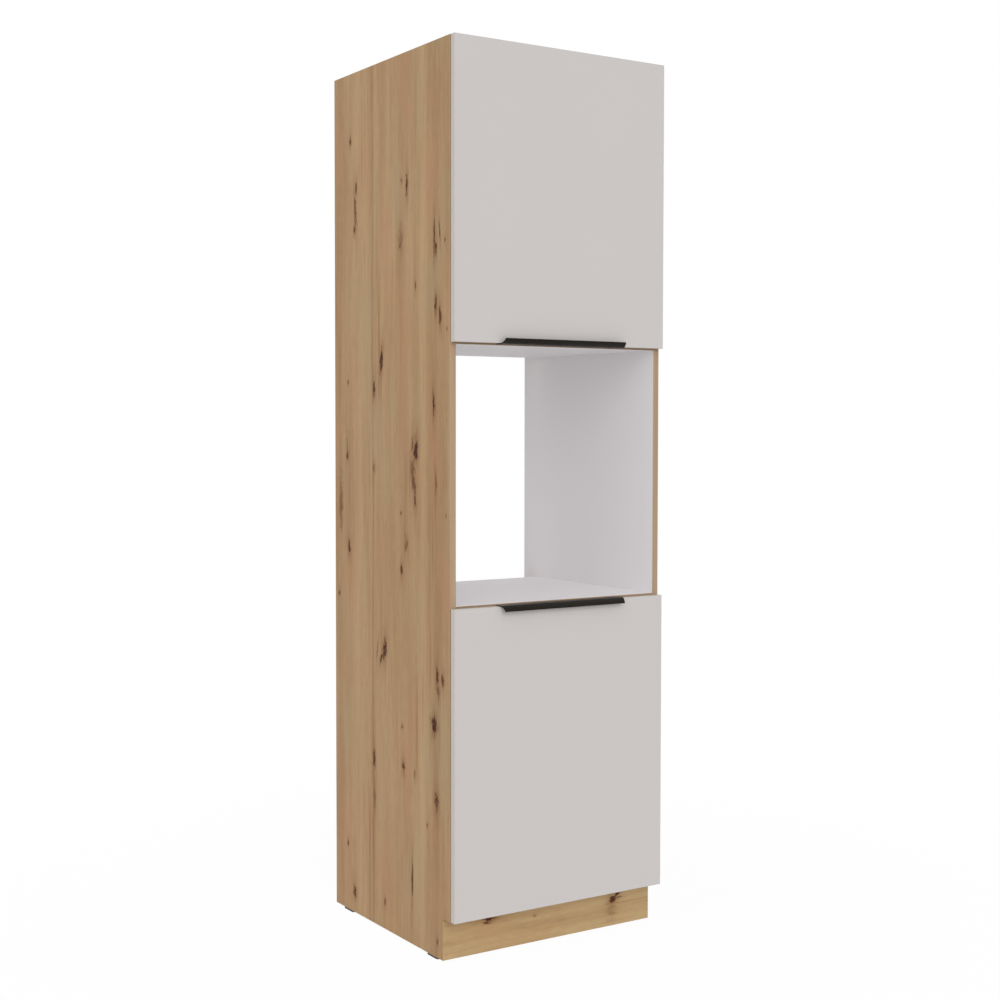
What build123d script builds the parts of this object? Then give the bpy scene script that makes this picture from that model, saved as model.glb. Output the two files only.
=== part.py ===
"""Tall kitchen cabinet that houses a built-in oven.

Two doors on concealed hinges close a lower and an upper compartment. The oven niche between
them is open at the front and at the back. Millimetres, +Z up, the front looks along -Y, and the
origin is on the floor below the middle of the whole cabinet.
"""

import os
from math import atan2, cos, hypot, radians, sin

from build123d import *

# Carcass
CABINET_W = 600.0
CARCASS_D = 565.0
BOARD_T = 16.0
PLINTH_H = 98.0
PLINTH_SETBACK = 31.5
LOWER_CLEAR_H = 691.0
NICHE_H = 596.0
UPPER_CLEAR_H = 658.5
VOID_D = 65.0  # open shaft behind the back panels, for the oven's lead and warm air
BAND_T = 1.0  # edge bands
EDGE_R = 0.8  # rounding of the edge bands

# Back panels and rear rails
BACK_T = 3.0
BACK_GROOVE_D = 6.5
BACK_INSET = 2.0  # a back panel ends this far inside the outer face of the panel behind it
RAIL_H = 80.0
WALL_HOLE_R = 4.0
WALL_HOLE_SPACING = 400.0

# Doors
DOOR_T = 16.0
DOOR_GAP = 2.2  # between a door's back and the carcass
DOOR_REVEAL = 1.5  # a door is this much narrower than the cabinet on each side
NICHE_REVEAL = 4.2  # how much of a niche panel's front edge shows past the door
BUMPER_R = 4.0
BUMPER_T = 2.0
BUMPER_FROM_END = 40.0

# Edge handles, bent from flat bar
HANDLE_L = 345.5
HANDLE_REACH = 18.0
HANDLE_T = 2.0
HANDLE_TURN = 69.5  # degrees from the plate to the lip's tip
HANDLE_SEAT_D = 14.0  # how far the plate lies on the door's edge
HANDLE_SCREW_PITCH = 140.0
HANDLE_SCREW_COUNT = 3

# Adjustable shelves
SHELF_SETBACK = 30.0
SHELF_REAR_GAP = 10.0
SHELF_PLAY = 1.0  # at each end
SHELF_PIN_R = 2.5
SHELF_PIN_HEAD_R = 3.5
SHELF_PIN_OUT = 9.0
SHELF_PIN_IN = 9.0
SHELF_PIN_INSET = 30.0  # from the shelf's front and rear edges
SHELF_HOLE_PITCH = 64.0
SHELF_HOLE_ROWS = 3

# Glides under the side panels
GLIDE_H = 5.0
GLIDE_L = 50.0
GLIDE_W = 14.0
GLIDE_FROM_FRONT = 83.0
GLIDE_FROM_REAR = 63.0
GLIDE_NAIL_R = 1.5
GLIDE_NAIL_L = 14.0
GLIDE_NAIL_PITCH = 24.0

# Knock-down fittings
FIT = 0.1  # radial play of dowels, bolts, cams and screws in their holes
CAM_R = 7.5
CAM_L = 12.5
CAM_REACH = 24.0  # from a panel's end to its cam
CAM_BORE_R = 3.6
BOLT_R = 2.5
BOLT_HEAD_R = 3.2
BOLT_IN = 10.5
DOWEL_R = 4.0
DOWEL_L = 30.0
DOWEL_IN = 10.0
FITTING_INSET = 60.0  # from a panel's front and rear edges to its cams
DOWEL_OFFSET = 32.0

# Screws
SCREW_R = 1.5
SCREW_HEAD_R = 3.0
SCREW_HEAD_H = 1.5
SHORT_SCREW_L = 14.0
HANDLE_SCREW_L = 20.0
BACK_SCREW_PITCH = 200.0
BACK_SCREW_COUNT = 3

# Blocks that hold the plinth
BLOCK_W = 20.0
BLOCK_H = 60.0
BLOCK_SCREW_L = 30.0

# Concealed hinges, measured from the side panel, the carcass front and the door's own faces
HINGE_FROM_END = 100.0
CUP_FROM_EDGE = 22.5
CUP_R = 17.5
CUP_D = 12.0
CUP_WALL = 0.8
CUP_FLANGE_T = 0.8
CUP_RIM = 1.5
CUP_SCREW_SPREAD = 48.0
CUP_WING_R = 6.0
ARM_PIVOT_IN = 26.0
ARM_PIVOT_BACK = 2.4
CUP_PIVOT_FROM_EDGE = 13.8
CUP_PIVOT_DEPTH = 1.9
OUTER_PIVOT_IN = 38.0
OUTER_PIVOT_BACK = 2.8
OUTER_CUP_PIVOT_FROM_EDGE = 17.0
OUTER_CUP_PIVOT_RISE = 2.7  # above the door's back
PIN_R = 1.25
PIN_PLAY = 0.05
RIVET_R = 1.1
LINK_EYE_R = 2.4
LINK_T = 3.0
LINK_HALF_W = 6.0
LINK_BEND_FROM_CUP = 8.0
LINK_BEND_RISE = 2.5
LAYER_GAP = 0.3  # between links, lugs and arm along the pins
SHEET_T = 1.5
OUTER_LINK_W = 2.8
OUTER_SLOT_TRAVEL = 2.9  # the slotted end of an outer link follows its rivet this far
OUTER_SLOT_SIDE_PLAY = 1.0
OUTER_SLOT_END_PLAY = 0.2
OUTER_SLOT_WALL = 0.7
LUG_R = 1.9
LUG_FOOT_W = 12.0
ARM_END_FROM_FRONT = 66.0
ARM_STEP_FROM_FRONT = 24.0
ARM_H = 10.0
PLATE_T = 10.0
PLATE_L = 48.0
PLATE_FOOT_T = 3.0
PLATE_FOOT_L = 18.0
PLATE_FOOT_W = 48.0
PLATE_SCREW_FROM_FRONT = 37.0
PLATE_SCREW_SPREAD = 32.0
PLATE_SCREW_R = 2.5
PLATE_SCREW_IN = 11.0
ARM_SCREW_R = 2.5
ARM_SCREW_HEAD_R = 4.0

# Places that follow from the sizes
SIDE_X = CABINET_W / 2 - BOARD_T
FRONT_Y = -(CARCASS_D - DOOR_GAP - DOOR_T - HANDLE_REACH) / 2
REAR_Y = FRONT_Y + CARCASS_D
BOARD_FRONT_Y = FRONT_Y + BAND_T
PANEL_REAR_Y = REAR_Y - VOID_D
SHELF_FRONT_Y = FRONT_Y + SHELF_SETBACK
SHELF_REAR_Y = PANEL_REAR_Y - SHELF_REAR_GAP
DOOR_BACK_Y = FRONT_Y - DOOR_GAP
DOOR_FRONT_Y = DOOR_BACK_Y - DOOR_T
NOTCH_Y = FRONT_Y + PLINTH_SETBACK + BOARD_T
BASE_Z = GLIDE_H + PLINTH_H
LOWER_FLOOR_Z = BASE_Z + BOARD_T
NICHE_FLOOR_Z = LOWER_FLOOR_Z + LOWER_CLEAR_H + BOARD_T
NICHE_CEILING_Z = NICHE_FLOOR_Z + NICHE_H
UPPER_FLOOR_Z = NICHE_CEILING_Z + BOARD_T
TOP_Z = UPPER_FLOOR_Z + UPPER_CLEAR_H + BOARD_T
DOOR_W = CABINET_W - 2 * DOOR_REVEAL
HINGE_EDGE_X = DOOR_W / 2

# A door is named by its level: where it starts, where it ends, and which edge has the handle
DOOR_SPANS = {
    "lower": (BASE_Z, NICHE_FLOOR_Z - NICHE_REVEAL),
    "upper": (NICHE_CEILING_Z + NICHE_REVEAL, TOP_Z),
}
HANDLE_EDGES = {"lower": DOOR_SPANS["lower"][1], "upper": DOOR_SPANS["upper"][0]}
HANDLE_UP = {"lower": 1, "upper": -1}  # which way the plate's outer face looks
HINGE_HEIGHTS = {
    level: (low + HINGE_FROM_END, high - HINGE_FROM_END)
    for level, (low, high) in DOOR_SPANS.items()
}

# Undersides of the four fixed panels, and whether their cams lie in the upper face
PANELS = {
    "bottom_panel": (BASE_Z, False),
    "niche_floor_panel": (NICHE_FLOOR_Z - BOARD_T, False),
    "niche_ceiling_panel": (NICHE_CEILING_Z, True),
    "top_panel": (TOP_Z - BOARD_T, True),
}
RAILS = {"bottom_rear_rail": BASE_Z - RAIL_H, "top_rear_rail": TOP_Z - RAIL_H}
RAIL_Y = REAR_Y - BOARD_T / 2
SHELF_MIDS = {
    "lower": LOWER_FLOOR_Z + LOWER_CLEAR_H / 2,
    "upper": UPPER_FLOOR_Z + UPPER_CLEAR_H / 2,
}

# Where bolts and dowels enter a side, as (y, z)
CAM_YS = [FRONT_Y + FITTING_INSET, PANEL_REAR_Y - FITTING_INSET]
DOWEL_YS = [CAM_YS[0] + DOWEL_OFFSET, CAM_YS[1] - DOWEL_OFFSET]
PANEL_MIDS = [underside + BOARD_T / 2 for underside, _ in PANELS.values()]
PANEL_BOLTS = [(y, z) for z in PANEL_MIDS for y in CAM_YS]
PANEL_DOWELS = [(y, z) for z in PANEL_MIDS for y in DOWEL_YS]
RAIL_BOLTS = [(RAIL_Y, z + RAIL_H / 2 - DOWEL_OFFSET / 2) for z in RAILS.values()]
RAIL_DOWELS = [(RAIL_Y, z + RAIL_H / 2 + DOWEL_OFFSET / 2) for z in RAILS.values()]
PIN_YS = [SHELF_FRONT_Y + SHELF_PIN_INSET, SHELF_REAR_Y - SHELF_PIN_INSET]
PIN_PLACES = [(y, z) for z in SHELF_MIDS.values() for y in PIN_YS]
BLOCK_Z = BASE_Z - PLINTH_H / 2
BLOCK_SIDE_SCREW_Z = BLOCK_Z + BLOCK_H / 4
BLOCK_PLINTH_SCREW_Z = BLOCK_Z - BLOCK_H / 4
BLOCK_HOLE_D = BLOCK_SCREW_L - BLOCK_W + FIT
GLIDE_YS = [FRONT_Y + GLIDE_FROM_FRONT, REAR_Y - GLIDE_FROM_REAR]

SIDE_OUTLINE = [
    (REAR_Y, GLIDE_H),
    (NOTCH_Y, GLIDE_H),
    (NOTCH_Y, BASE_Z),
    (BOARD_FRONT_Y, BASE_Z),
    (BOARD_FRONT_Y, TOP_Z),
    (REAR_Y, TOP_Z),
]

# Pivots of one hinge as (x, y), at the hinge's own mid height
CUP_X = HINGE_EDGE_X - CUP_FROM_EDGE
ARM_PIVOT = (SIDE_X - ARM_PIVOT_IN, FRONT_Y + ARM_PIVOT_BACK)
CUP_PIVOT = (HINGE_EDGE_X - CUP_PIVOT_FROM_EDGE, DOOR_BACK_Y - CUP_PIVOT_DEPTH)
OUTER_PIVOT = (SIDE_X - OUTER_PIVOT_IN, FRONT_Y + OUTER_PIVOT_BACK)
OUTER_CUP_PIVOT = (
    HINGE_EDGE_X - OUTER_CUP_PIVOT_FROM_EDGE,
    DOOR_BACK_Y + OUTER_CUP_PIVOT_RISE,
)
LUG_Z = LINK_HALF_W + LAYER_GAP
CHEEK_Z = LUG_Z + SHEET_T + LAYER_GAP
PLATE_Y = FRONT_Y + PLATE_SCREW_FROM_FRONT
HANDLE_SCREW_Y = DOOR_FRONT_Y + HANDLE_SEAT_D / 2
BACK_SPANS = {
    "lower": (BASE_Z + BACK_INSET, NICHE_FLOOR_Z - BACK_INSET),
    "upper": (NICHE_CEILING_Z + BACK_INSET, TOP_Z - BACK_INSET),
}

DOOR_BACK = Plane.XZ.offset(-DOOR_BACK_Y)  # extruding from it goes into the door


def side_panel(side):
    """A notched side board, bored from its inner face. side is 1 on the right and -1 on the left."""
    inner = Plane.YZ.offset(side * SIDE_X)
    with BuildPart() as panel:
        with BuildSketch(inner):
            with BuildLine():
                Polyline(*SIDE_OUTLINE, close=True)
            make_face()
        extrude(amount=side * BOARD_T)
        with BuildSketch(inner):
            with Locations(*PANEL_BOLTS, *RAIL_BOLTS):
                Circle(BOLT_R + FIT)
        extrude(amount=side * (BOLT_IN + FIT), mode=Mode.SUBTRACT)
        with BuildSketch(inner):
            with Locations(*PANEL_DOWELS, *RAIL_DOWELS):
                Circle(DOWEL_R + FIT)
        extrude(amount=side * (DOWEL_IN + FIT), mode=Mode.SUBTRACT)
        with BuildSketch(inner):
            for y, z in PIN_PLACES:
                with Locations((y, z)):
                    with GridLocations(1, SHELF_HOLE_PITCH, 1, SHELF_HOLE_ROWS):
                        Circle(SHELF_PIN_R + FIT)
        extrude(amount=side * (SHELF_PIN_IN + FIT), mode=Mode.SUBTRACT)
        with BuildSketch(inner):
            for low, high in BACK_SPANS.values():
                with Locations((PANEL_REAR_Y + BACK_T / 2, (low + high) / 2)):
                    Rectangle(BACK_T + FIT, high - low + 2 * FIT)
        extrude(amount=side * BACK_GROOVE_D, mode=Mode.SUBTRACT)
        with BuildSketch(Plane.XY.offset(GLIDE_H)):
            with Locations(*[(side * (SIDE_X + BOARD_T / 2), y) for y in GLIDE_YS]):
                with GridLocations(1, GLIDE_NAIL_PITCH, 1, 2):
                    Circle(GLIDE_NAIL_R + FIT)
        extrude(amount=GLIDE_NAIL_L + FIT, mode=Mode.SUBTRACT)
        with BuildSketch(inner):
            with Locations((NOTCH_Y + BLOCK_W / 2, BLOCK_SIDE_SCREW_Z)):
                Circle(SCREW_R + FIT)
        extrude(amount=side * BLOCK_HOLE_D, mode=Mode.SUBTRACT)
        if side > 0:
            with BuildSketch(inner):
                for heights in HINGE_HEIGHTS.values():
                    with Locations(*[(PLATE_Y, z) for z in heights]):
                        with GridLocations(1, PLATE_SCREW_SPREAD, 1, 2):
                            Circle(PLATE_SCREW_R + FIT)
            extrude(amount=PLATE_SCREW_IN + FIT, mode=Mode.SUBTRACT)
    return panel


def fixed_panel(underside, cams_on_top):
    """A panel between the sides, bored for its cams, bolts, dowels and back screws."""
    mid = underside + BOARD_T / 2
    cam_face = Plane.XY.offset(underside + BOARD_T if cams_on_top else underside)
    cam_way = -1 if cams_on_top else 1
    with BuildPart() as panel:
        with BuildSketch(Plane.XY.offset(underside)):
            with Locations((0, (BOARD_FRONT_Y + PANEL_REAR_Y) / 2)):
                Rectangle(2 * SIDE_X, PANEL_REAR_Y - BOARD_FRONT_Y)
        extrude(amount=BOARD_T)
        with BuildSketch(cam_face):
            for y in CAM_YS:
                with Locations((0, y)):
                    with GridLocations(2 * (SIDE_X - CAM_REACH), 1, 2, 1):
                        Circle(CAM_R + FIT)
        extrude(amount=cam_way * (CAM_L + FIT), mode=Mode.SUBTRACT)
        for side in (-1, 1):
            with BuildSketch(Plane.YZ.offset(side * SIDE_X)):
                with Locations(*[(y, mid) for y in CAM_YS + DOWEL_YS]):
                    Circle(DOWEL_R + FIT)
            extrude(amount=-side * CAM_REACH, mode=Mode.SUBTRACT)
        with BuildSketch(Plane.XZ.offset(-PANEL_REAR_Y)):
            with Locations((0, mid)):
                with GridLocations(BACK_SCREW_PITCH, 1, BACK_SCREW_COUNT, 1):
                    Circle(SCREW_R + FIT)
        extrude(amount=SHORT_SCREW_L, mode=Mode.SUBTRACT)
    return panel


def rear_rail(underside, wall_holes):
    """An upright rail between the sides at the very back, with its cams in the rear face."""
    with BuildPart() as rail:
        with BuildSketch(Plane.XZ.offset(-REAR_Y)):
            with Locations((0, underside + RAIL_H / 2)):
                Rectangle(2 * SIDE_X, RAIL_H)
        extrude(amount=BOARD_T)
        with BuildSketch(Plane.XZ.offset(-REAR_Y)):
            with Locations((0, underside + RAIL_H / 2 - DOWEL_OFFSET / 2)):
                with GridLocations(2 * (SIDE_X - CAM_REACH), 1, 2, 1):
                    Circle(CAM_R + FIT)
        extrude(amount=CAM_L + FIT, mode=Mode.SUBTRACT)
        for side in (-1, 1):
            with BuildSketch(Plane.YZ.offset(side * SIDE_X)):
                with Locations((RAIL_Y, underside + RAIL_H / 2)):
                    with GridLocations(1, DOWEL_OFFSET, 1, 2):
                        Circle(DOWEL_R + FIT)
            extrude(amount=-side * CAM_REACH, mode=Mode.SUBTRACT)
        if wall_holes:
            with BuildSketch(Plane.XZ.offset(-REAR_Y)):
                with Locations((0, underside + RAIL_H / 2)):
                    with GridLocations(WALL_HOLE_SPACING, 1, 2, 1):
                        Circle(WALL_HOLE_R)
            extrude(amount=BOARD_T, mode=Mode.SUBTRACT)
    return rail


def back_panel(low, high):
    """A thin back that slides in the side grooves and is screwed to the panels in front of it."""
    width = 2 * (SIDE_X + BACK_GROOVE_D - FIT)
    with BuildPart() as panel:
        with BuildSketch(Plane.XZ.offset(-PANEL_REAR_Y)):
            with Locations((0, (low + high) / 2)):
                Rectangle(width, high - low)
            for z in (z for z in PANEL_MIDS if low < z < high):
                with Locations((0, z)):
                    with GridLocations(BACK_SCREW_PITCH, 1, BACK_SCREW_COUNT, 1):
                        Circle(SCREW_R + FIT, mode=Mode.SUBTRACT)
        extrude(amount=-BACK_T)
    return panel


def loose_shelf(mid):
    """An adjustable shelf that lies on four pins."""
    board_front_y = SHELF_FRONT_Y + BAND_T
    with BuildPart() as shelf:
        with BuildSketch(Plane.XY.offset(mid + SHELF_PIN_HEAD_R)):
            with Locations((0, (board_front_y + SHELF_REAR_Y) / 2)):
                Rectangle(2 * (SIDE_X - SHELF_PLAY), SHELF_REAR_Y - board_front_y)
        extrude(amount=BOARD_T)
    return shelf


def front_bands(front_y, spans, along):
    """Edge bands whose face is at front_y, one for each (centre, width, height), rounded along an axis."""
    with BuildPart() as bands:
        with BuildSketch(Plane.XZ.offset(-front_y)):
            for centre, width, height in spans:
                with Locations(centre):
                    Rectangle(width, height)
        extrude(amount=-BAND_T)
        fillet(bands.edges().filter_by(along).group_by(Axis.Y)[0], EDGE_R)
    return bands


def handle_pilots(level):
    """The holes for a handle's screws, as solids to take away from a door and its edge band."""
    with BuildPart() as pilots:
        with BuildSketch(Plane.XY.offset(HANDLE_EDGES[level])):
            with Locations((0, HANDLE_SCREW_Y)):
                with GridLocations(HANDLE_SCREW_PITCH, 1, HANDLE_SCREW_COUNT, 1):
                    Circle(SCREW_R + FIT)
        extrude(amount=-HANDLE_UP[level] * HANDLE_SCREW_L)
    return pilots


def door(level):
    """A door board inside its edge band, with hinge cup bores and pilot holes for its screws."""
    low, high = DOOR_SPANS[level]
    with BuildPart() as board:
        with BuildSketch(DOOR_BACK):
            with Locations((0, (low + high) / 2)):
                Rectangle(DOOR_W - 2 * BAND_T, high - low - 2 * BAND_T)
        extrude(amount=DOOR_T)
        with BuildSketch(DOOR_BACK):
            with Locations(*[(CUP_X, z) for z in HINGE_HEIGHTS[level]]):
                Circle(CUP_R + FIT)
        extrude(amount=CUP_D + FIT, mode=Mode.SUBTRACT)
        with BuildSketch(DOOR_BACK):
            with Locations(*[(CUP_X, z) for z in HINGE_HEIGHTS[level]]):
                with GridLocations(1, CUP_SCREW_SPREAD, 1, 2):
                    Circle(SCREW_R + FIT)
        extrude(amount=SHORT_SCREW_L, mode=Mode.SUBTRACT)
        add(handle_pilots(level).part, mode=Mode.SUBTRACT)
    return board


def door_band(level):
    """The edge band round a door, rounded towards the front."""
    low, high = DOOR_SPANS[level]
    with BuildPart() as band:
        with BuildSketch(DOOR_BACK):
            with Locations((0, (low + high) / 2)):
                Rectangle(DOOR_W, high - low)
                Rectangle(DOOR_W - 2 * BAND_T, high - low - 2 * BAND_T, mode=Mode.SUBTRACT)
        extrude(amount=DOOR_T)
        fillet(band.faces().sort_by(Axis.Y)[0].outer_wire().edges(), EDGE_R)
        add(handle_pilots(level).part, mode=Mode.SUBTRACT)
    return band


def edge_handle(level):
    """A bar that lies on the door's edge and curls back over the door's face to a rounded lip."""
    up = HANDLE_UP[level]
    mid = HANDLE_EDGES[level] + up * HANDLE_T / 2
    turn = radians(HANDLE_TURN)
    tip_r = HANDLE_T / 2 - FIT
    tip_orbit = hypot((HANDLE_REACH - tip_r * (1 - cos(turn))) / sin(turn), tip_r)
    bend_r = tip_orbit + tip_r - HANDLE_T / 2
    with BuildPart() as pull:
        with BuildSketch(Plane.YZ.offset(-HANDLE_L / 2)):
            with BuildLine():
                plate = Line((DOOR_FRONT_Y + HANDLE_SEAT_D, mid), (DOOR_FRONT_Y, mid))
                JernArc(plate @ 1, plate % 1, bend_r, up * HANDLE_TURN)
            trace(line_width=HANDLE_T)
        extrude(amount=HANDLE_L)
        lip_tip = pull.edges().filter_by(Axis.X).sort_by(Axis.Z, reverse=up < 0)[:2]
        fillet(lip_tip, tip_r)
        with Locations(*handle_screw_places(level)):
            CounterSinkHole(SCREW_R + FIT, SCREW_HEAD_R + FIT, HANDLE_T)
    return pull


def handle_screw_places(level):
    """Places of a handle's screws on the plate's outer face, looking out of it."""
    up = HANDLE_UP[level]
    height = HANDLE_EDGES[level] + up * HANDLE_T
    steps = range(HANDLE_SCREW_COUNT)
    xs = [(step - (HANDLE_SCREW_COUNT - 1) / 2) * HANDLE_SCREW_PITCH for step in steps]
    tilt = 0 if up > 0 else 180
    return [Location((x, HANDLE_SCREW_Y, height), (tilt, 0, 0)) for x in xs]


def screw(length, countersunk):
    """A wood screw along -Z. Its head is below the origin if countersunk, or else above it."""
    sunk_head = [(0, 0), (SCREW_HEAD_R, 0), (SCREW_R, -SCREW_HEAD_H)]
    flat_head = [(0, SCREW_HEAD_H), (SCREW_HEAD_R, SCREW_HEAD_H), (SCREW_HEAD_R, 0), (SCREW_R, 0)]
    head = sunk_head if countersunk else flat_head
    with BuildPart() as fastener:
        with BuildSketch(Plane.XZ):
            with BuildLine():
                Polyline(*head, (SCREW_R, SCREW_R - length), (0, -length), close=True)
            make_face()
        revolve(axis=Axis.Z)
    return fastener


def repeated(piece, places):
    """Copies of one piece at several places, as one node."""
    with BuildPart() as copies:
        with Locations(*places):
            add(piece.part)
    return copies


def at_heights(heights):
    """Places straight above the origin, for pieces already drawn at their x and y."""
    return [Location((0, 0, z)) for z in heights]


def keep(name, piece):
    """Names a finished piece and writes it."""
    piece.part.label = name
    export_step(piece.part, f"parts/{name}.step")


os.makedirs("parts", exist_ok=True)

# Carcass boards
keep("left_side_panel", side_panel(-1))
keep("right_side_panel", side_panel(1))
for name, (underside, cams_on_top) in PANELS.items():
    keep(name, fixed_panel(underside, cams_on_top))
for name, underside in RAILS.items():
    keep(name, rear_rail(underside, wall_holes=name == "top_rear_rail"))
for level, (low, high) in BACK_SPANS.items():
    keep(f"{level}_back_panel", back_panel(low, high))
for level, mid in SHELF_MIDS.items():
    keep(f"{level}_shelf", loose_shelf(mid))

# Edge bands on the front edges of the carcass and the shelves
side_h = TOP_Z - BASE_Z
side_spans = [((way * (SIDE_X + BOARD_T / 2), BASE_Z + side_h / 2), BOARD_T, side_h) for way in (-1, 1)]
panel_spans = [((0, mid), 2 * SIDE_X, BOARD_T) for mid in PANEL_MIDS]
shelf_lift = SHELF_PIN_HEAD_R + BOARD_T / 2
shelf_w = 2 * (SIDE_X - SHELF_PLAY)
shelf_spans = [((0, mid + shelf_lift), shelf_w, BOARD_T) for mid in SHELF_MIDS.values()]
keep("side_edge_bands", front_bands(FRONT_Y, side_spans, Axis.Z))
keep("panel_edge_bands", front_bands(FRONT_Y, panel_spans, Axis.X))
keep("shelf_edge_bands", front_bands(SHELF_FRONT_Y, shelf_spans, Axis.X))

# Plinth in front of the notched sides, with a block behind each end
with BuildPart() as plinth:
    with BuildSketch(Plane.XY.offset(GLIDE_H)):
        with Locations((0, NOTCH_Y - BOARD_T / 2)):
            Rectangle(CABINET_W, BOARD_T)
    extrude(amount=PLINTH_H)
    fillet(plinth.edges().filter_by(Axis.Z).group_by(Axis.Y)[0], EDGE_R)
    with BuildSketch(Plane.XZ.offset(-NOTCH_Y)):
        with Locations((0, BLOCK_PLINTH_SCREW_Z)):
            with GridLocations(2 * SIDE_X - BLOCK_W, 1, 2, 1):
                Circle(SCREW_R + FIT)
    extrude(amount=BLOCK_HOLE_D, mode=Mode.SUBTRACT)
keep("plinth", plinth)

with BuildPart() as plinth_blocks:
    with BuildSketch(Plane.XY.offset(BLOCK_Z - BLOCK_H / 2)):
        with Locations((0, NOTCH_Y + BLOCK_W / 2)):
            with GridLocations(2 * SIDE_X - BLOCK_W, 1, 2, 1):
                Rectangle(BLOCK_W, BLOCK_W)
    extrude(amount=BLOCK_H)
    vertical = plinth_blocks.edges().filter_by(Axis.Z).group_by(Axis.Y)[-1]
    inner_corners = vertical.sort_by(lambda edge: abs(edge.center().X))[:2]
    chamfer(inner_corners, BLOCK_W / 4)
    with BuildSketch(Plane.XZ.offset(-NOTCH_Y)):
        with Locations((0, BLOCK_PLINTH_SCREW_Z)):
            with GridLocations(2 * SIDE_X - BLOCK_W, 1, 2, 1):
                Circle(SCREW_R + FIT)
    extrude(amount=-BLOCK_W, mode=Mode.SUBTRACT)
    with BuildSketch(Plane.YZ.offset(-SIDE_X)):
        with Locations((NOTCH_Y + BLOCK_W / 2, BLOCK_SIDE_SCREW_Z)):
            Circle(SCREW_R + FIT)
    extrude(amount=2 * SIDE_X, mode=Mode.SUBTRACT)
keep("plinth_blocks", plinth_blocks)

block_screw = screw(BLOCK_SCREW_L, countersunk=False)
block_screw_places = []
for side in (-1, 1):
    plinth_x = side * (SIDE_X - BLOCK_W / 2)
    side_x = side * (SIDE_X - BLOCK_W)
    to_plinth = Location((plinth_x, NOTCH_Y + BLOCK_W, BLOCK_PLINTH_SCREW_Z), (-90, 0, 0))
    to_side = Location((side_x, NOTCH_Y + BLOCK_W / 2, BLOCK_SIDE_SCREW_Z), (0, -side * 90, 0))
    block_screw_places += [to_plinth, to_side]
keep("plinth_screws", repeated(block_screw, block_screw_places))

# Glides with two nails each
with BuildPart() as glide:
    with BuildSketch():
        SlotOverall(GLIDE_L, GLIDE_W, rotation=90)
    extrude(amount=GLIDE_H)
    with BuildSketch(Plane.XY.offset(GLIDE_H)):
        with GridLocations(1, GLIDE_NAIL_PITCH, 1, 2):
            Circle(GLIDE_NAIL_R)
    extrude(amount=GLIDE_NAIL_L)
glide_places = [Location((side * (SIDE_X + BOARD_T / 2), y, 0)) for side in (-1, 1) for y in GLIDE_YS]
keep("glides", repeated(glide, glide_places))

# Cams, bolts and dowels that hold the carcass together
with BuildPart() as cam_lock:
    with BuildSketch():
        Circle(CAM_R)
    extrude(amount=-CAM_L)
    with BuildSketch(Plane.YZ.offset(CAM_R)):
        with Locations((0, -BOARD_T / 2)):
            Circle(CAM_BORE_R)
    extrude(amount=-CAM_R - BOLT_HEAD_R - CAM_BORE_R / 2, mode=Mode.SUBTRACT)
    with BuildSketch():
        Rectangle(CAM_R, BOLT_R / 2)
        Rectangle(BOLT_R / 2, CAM_R)
    extrude(amount=-SCREW_HEAD_H, mode=Mode.SUBTRACT)

with BuildPart() as cam_bolt:
    with BuildSketch(Plane.XZ):
        with BuildLine():
            Polyline(
                (BOLT_IN, 0),
                (BOLT_IN, BOLT_R),
                (BOLT_HEAD_R - CAM_REACH, BOLT_R),
                (BOLT_HEAD_R - CAM_REACH, BOLT_HEAD_R),
                (-BOLT_HEAD_R - CAM_REACH, BOLT_HEAD_R),
                (-BOLT_HEAD_R - CAM_REACH, 0),
                close=True,
            )
        make_face()
    revolve(axis=Axis.X)

with BuildPart() as dowel:
    with BuildSketch(Plane.YZ.offset(DOWEL_IN)):
        Circle(DOWEL_R)
    extrude(amount=-DOWEL_L)

cam_places = []
bolt_places = []
dowel_places = []
for side, turn in ((1, 0), (-1, 180)):
    cam_x = side * (SIDE_X - CAM_REACH)
    for underside, cams_on_top in PANELS.values():
        face = underside + BOARD_T if cams_on_top else underside
        flip = 0 if cams_on_top else 180
        cam_places += [Location((cam_x, y, face), (flip, 0, turn)) for y in CAM_YS]
    cam_places += [Location((cam_x, REAR_Y, z), (-90, 0, turn)) for _, z in RAIL_BOLTS]
    for y, z in PANEL_BOLTS + RAIL_BOLTS:
        bolt_places.append(Location((side * SIDE_X, y, z), (0, 0, turn)))
    for y, z in PANEL_DOWELS + RAIL_DOWELS:
        dowel_places.append(Location((side * SIDE_X, y, z), (0, 0, turn)))
keep("cam_locks", repeated(cam_lock, cam_places))
keep("cam_bolts", repeated(cam_bolt, bolt_places))
keep("dowels", repeated(dowel, dowel_places))

# Shelf pins
with BuildPart() as shelf_pin:
    with BuildSketch(Plane.YZ.offset(SHELF_PIN_IN)):
        Circle(SHELF_PIN_R)
    extrude(amount=-SHELF_PIN_IN)
    with BuildSketch(Plane.YZ):
        Circle(SHELF_PIN_HEAD_R)
    extrude(amount=-SHELF_PIN_OUT)
pin_places = []
for side, turn in ((1, 0), (-1, 180)):
    pin_places += [Location((side * SIDE_X, y, z), (0, 0, turn)) for y, z in PIN_PLACES]
keep("shelf_pins", repeated(shelf_pin, pin_places))

# Screws of the carcass
back_screw = screw(SHORT_SCREW_L, countersunk=False)
back_screw_places = []
for z in PANEL_MIDS:
    for step in range(BACK_SCREW_COUNT):
        x = (step - (BACK_SCREW_COUNT - 1) / 2) * BACK_SCREW_PITCH
        back_screw_places.append(Location((x, PANEL_REAR_Y + BACK_T, z), (-90, 0, 0)))
keep("back_panel_screws", repeated(back_screw, back_screw_places))

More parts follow.
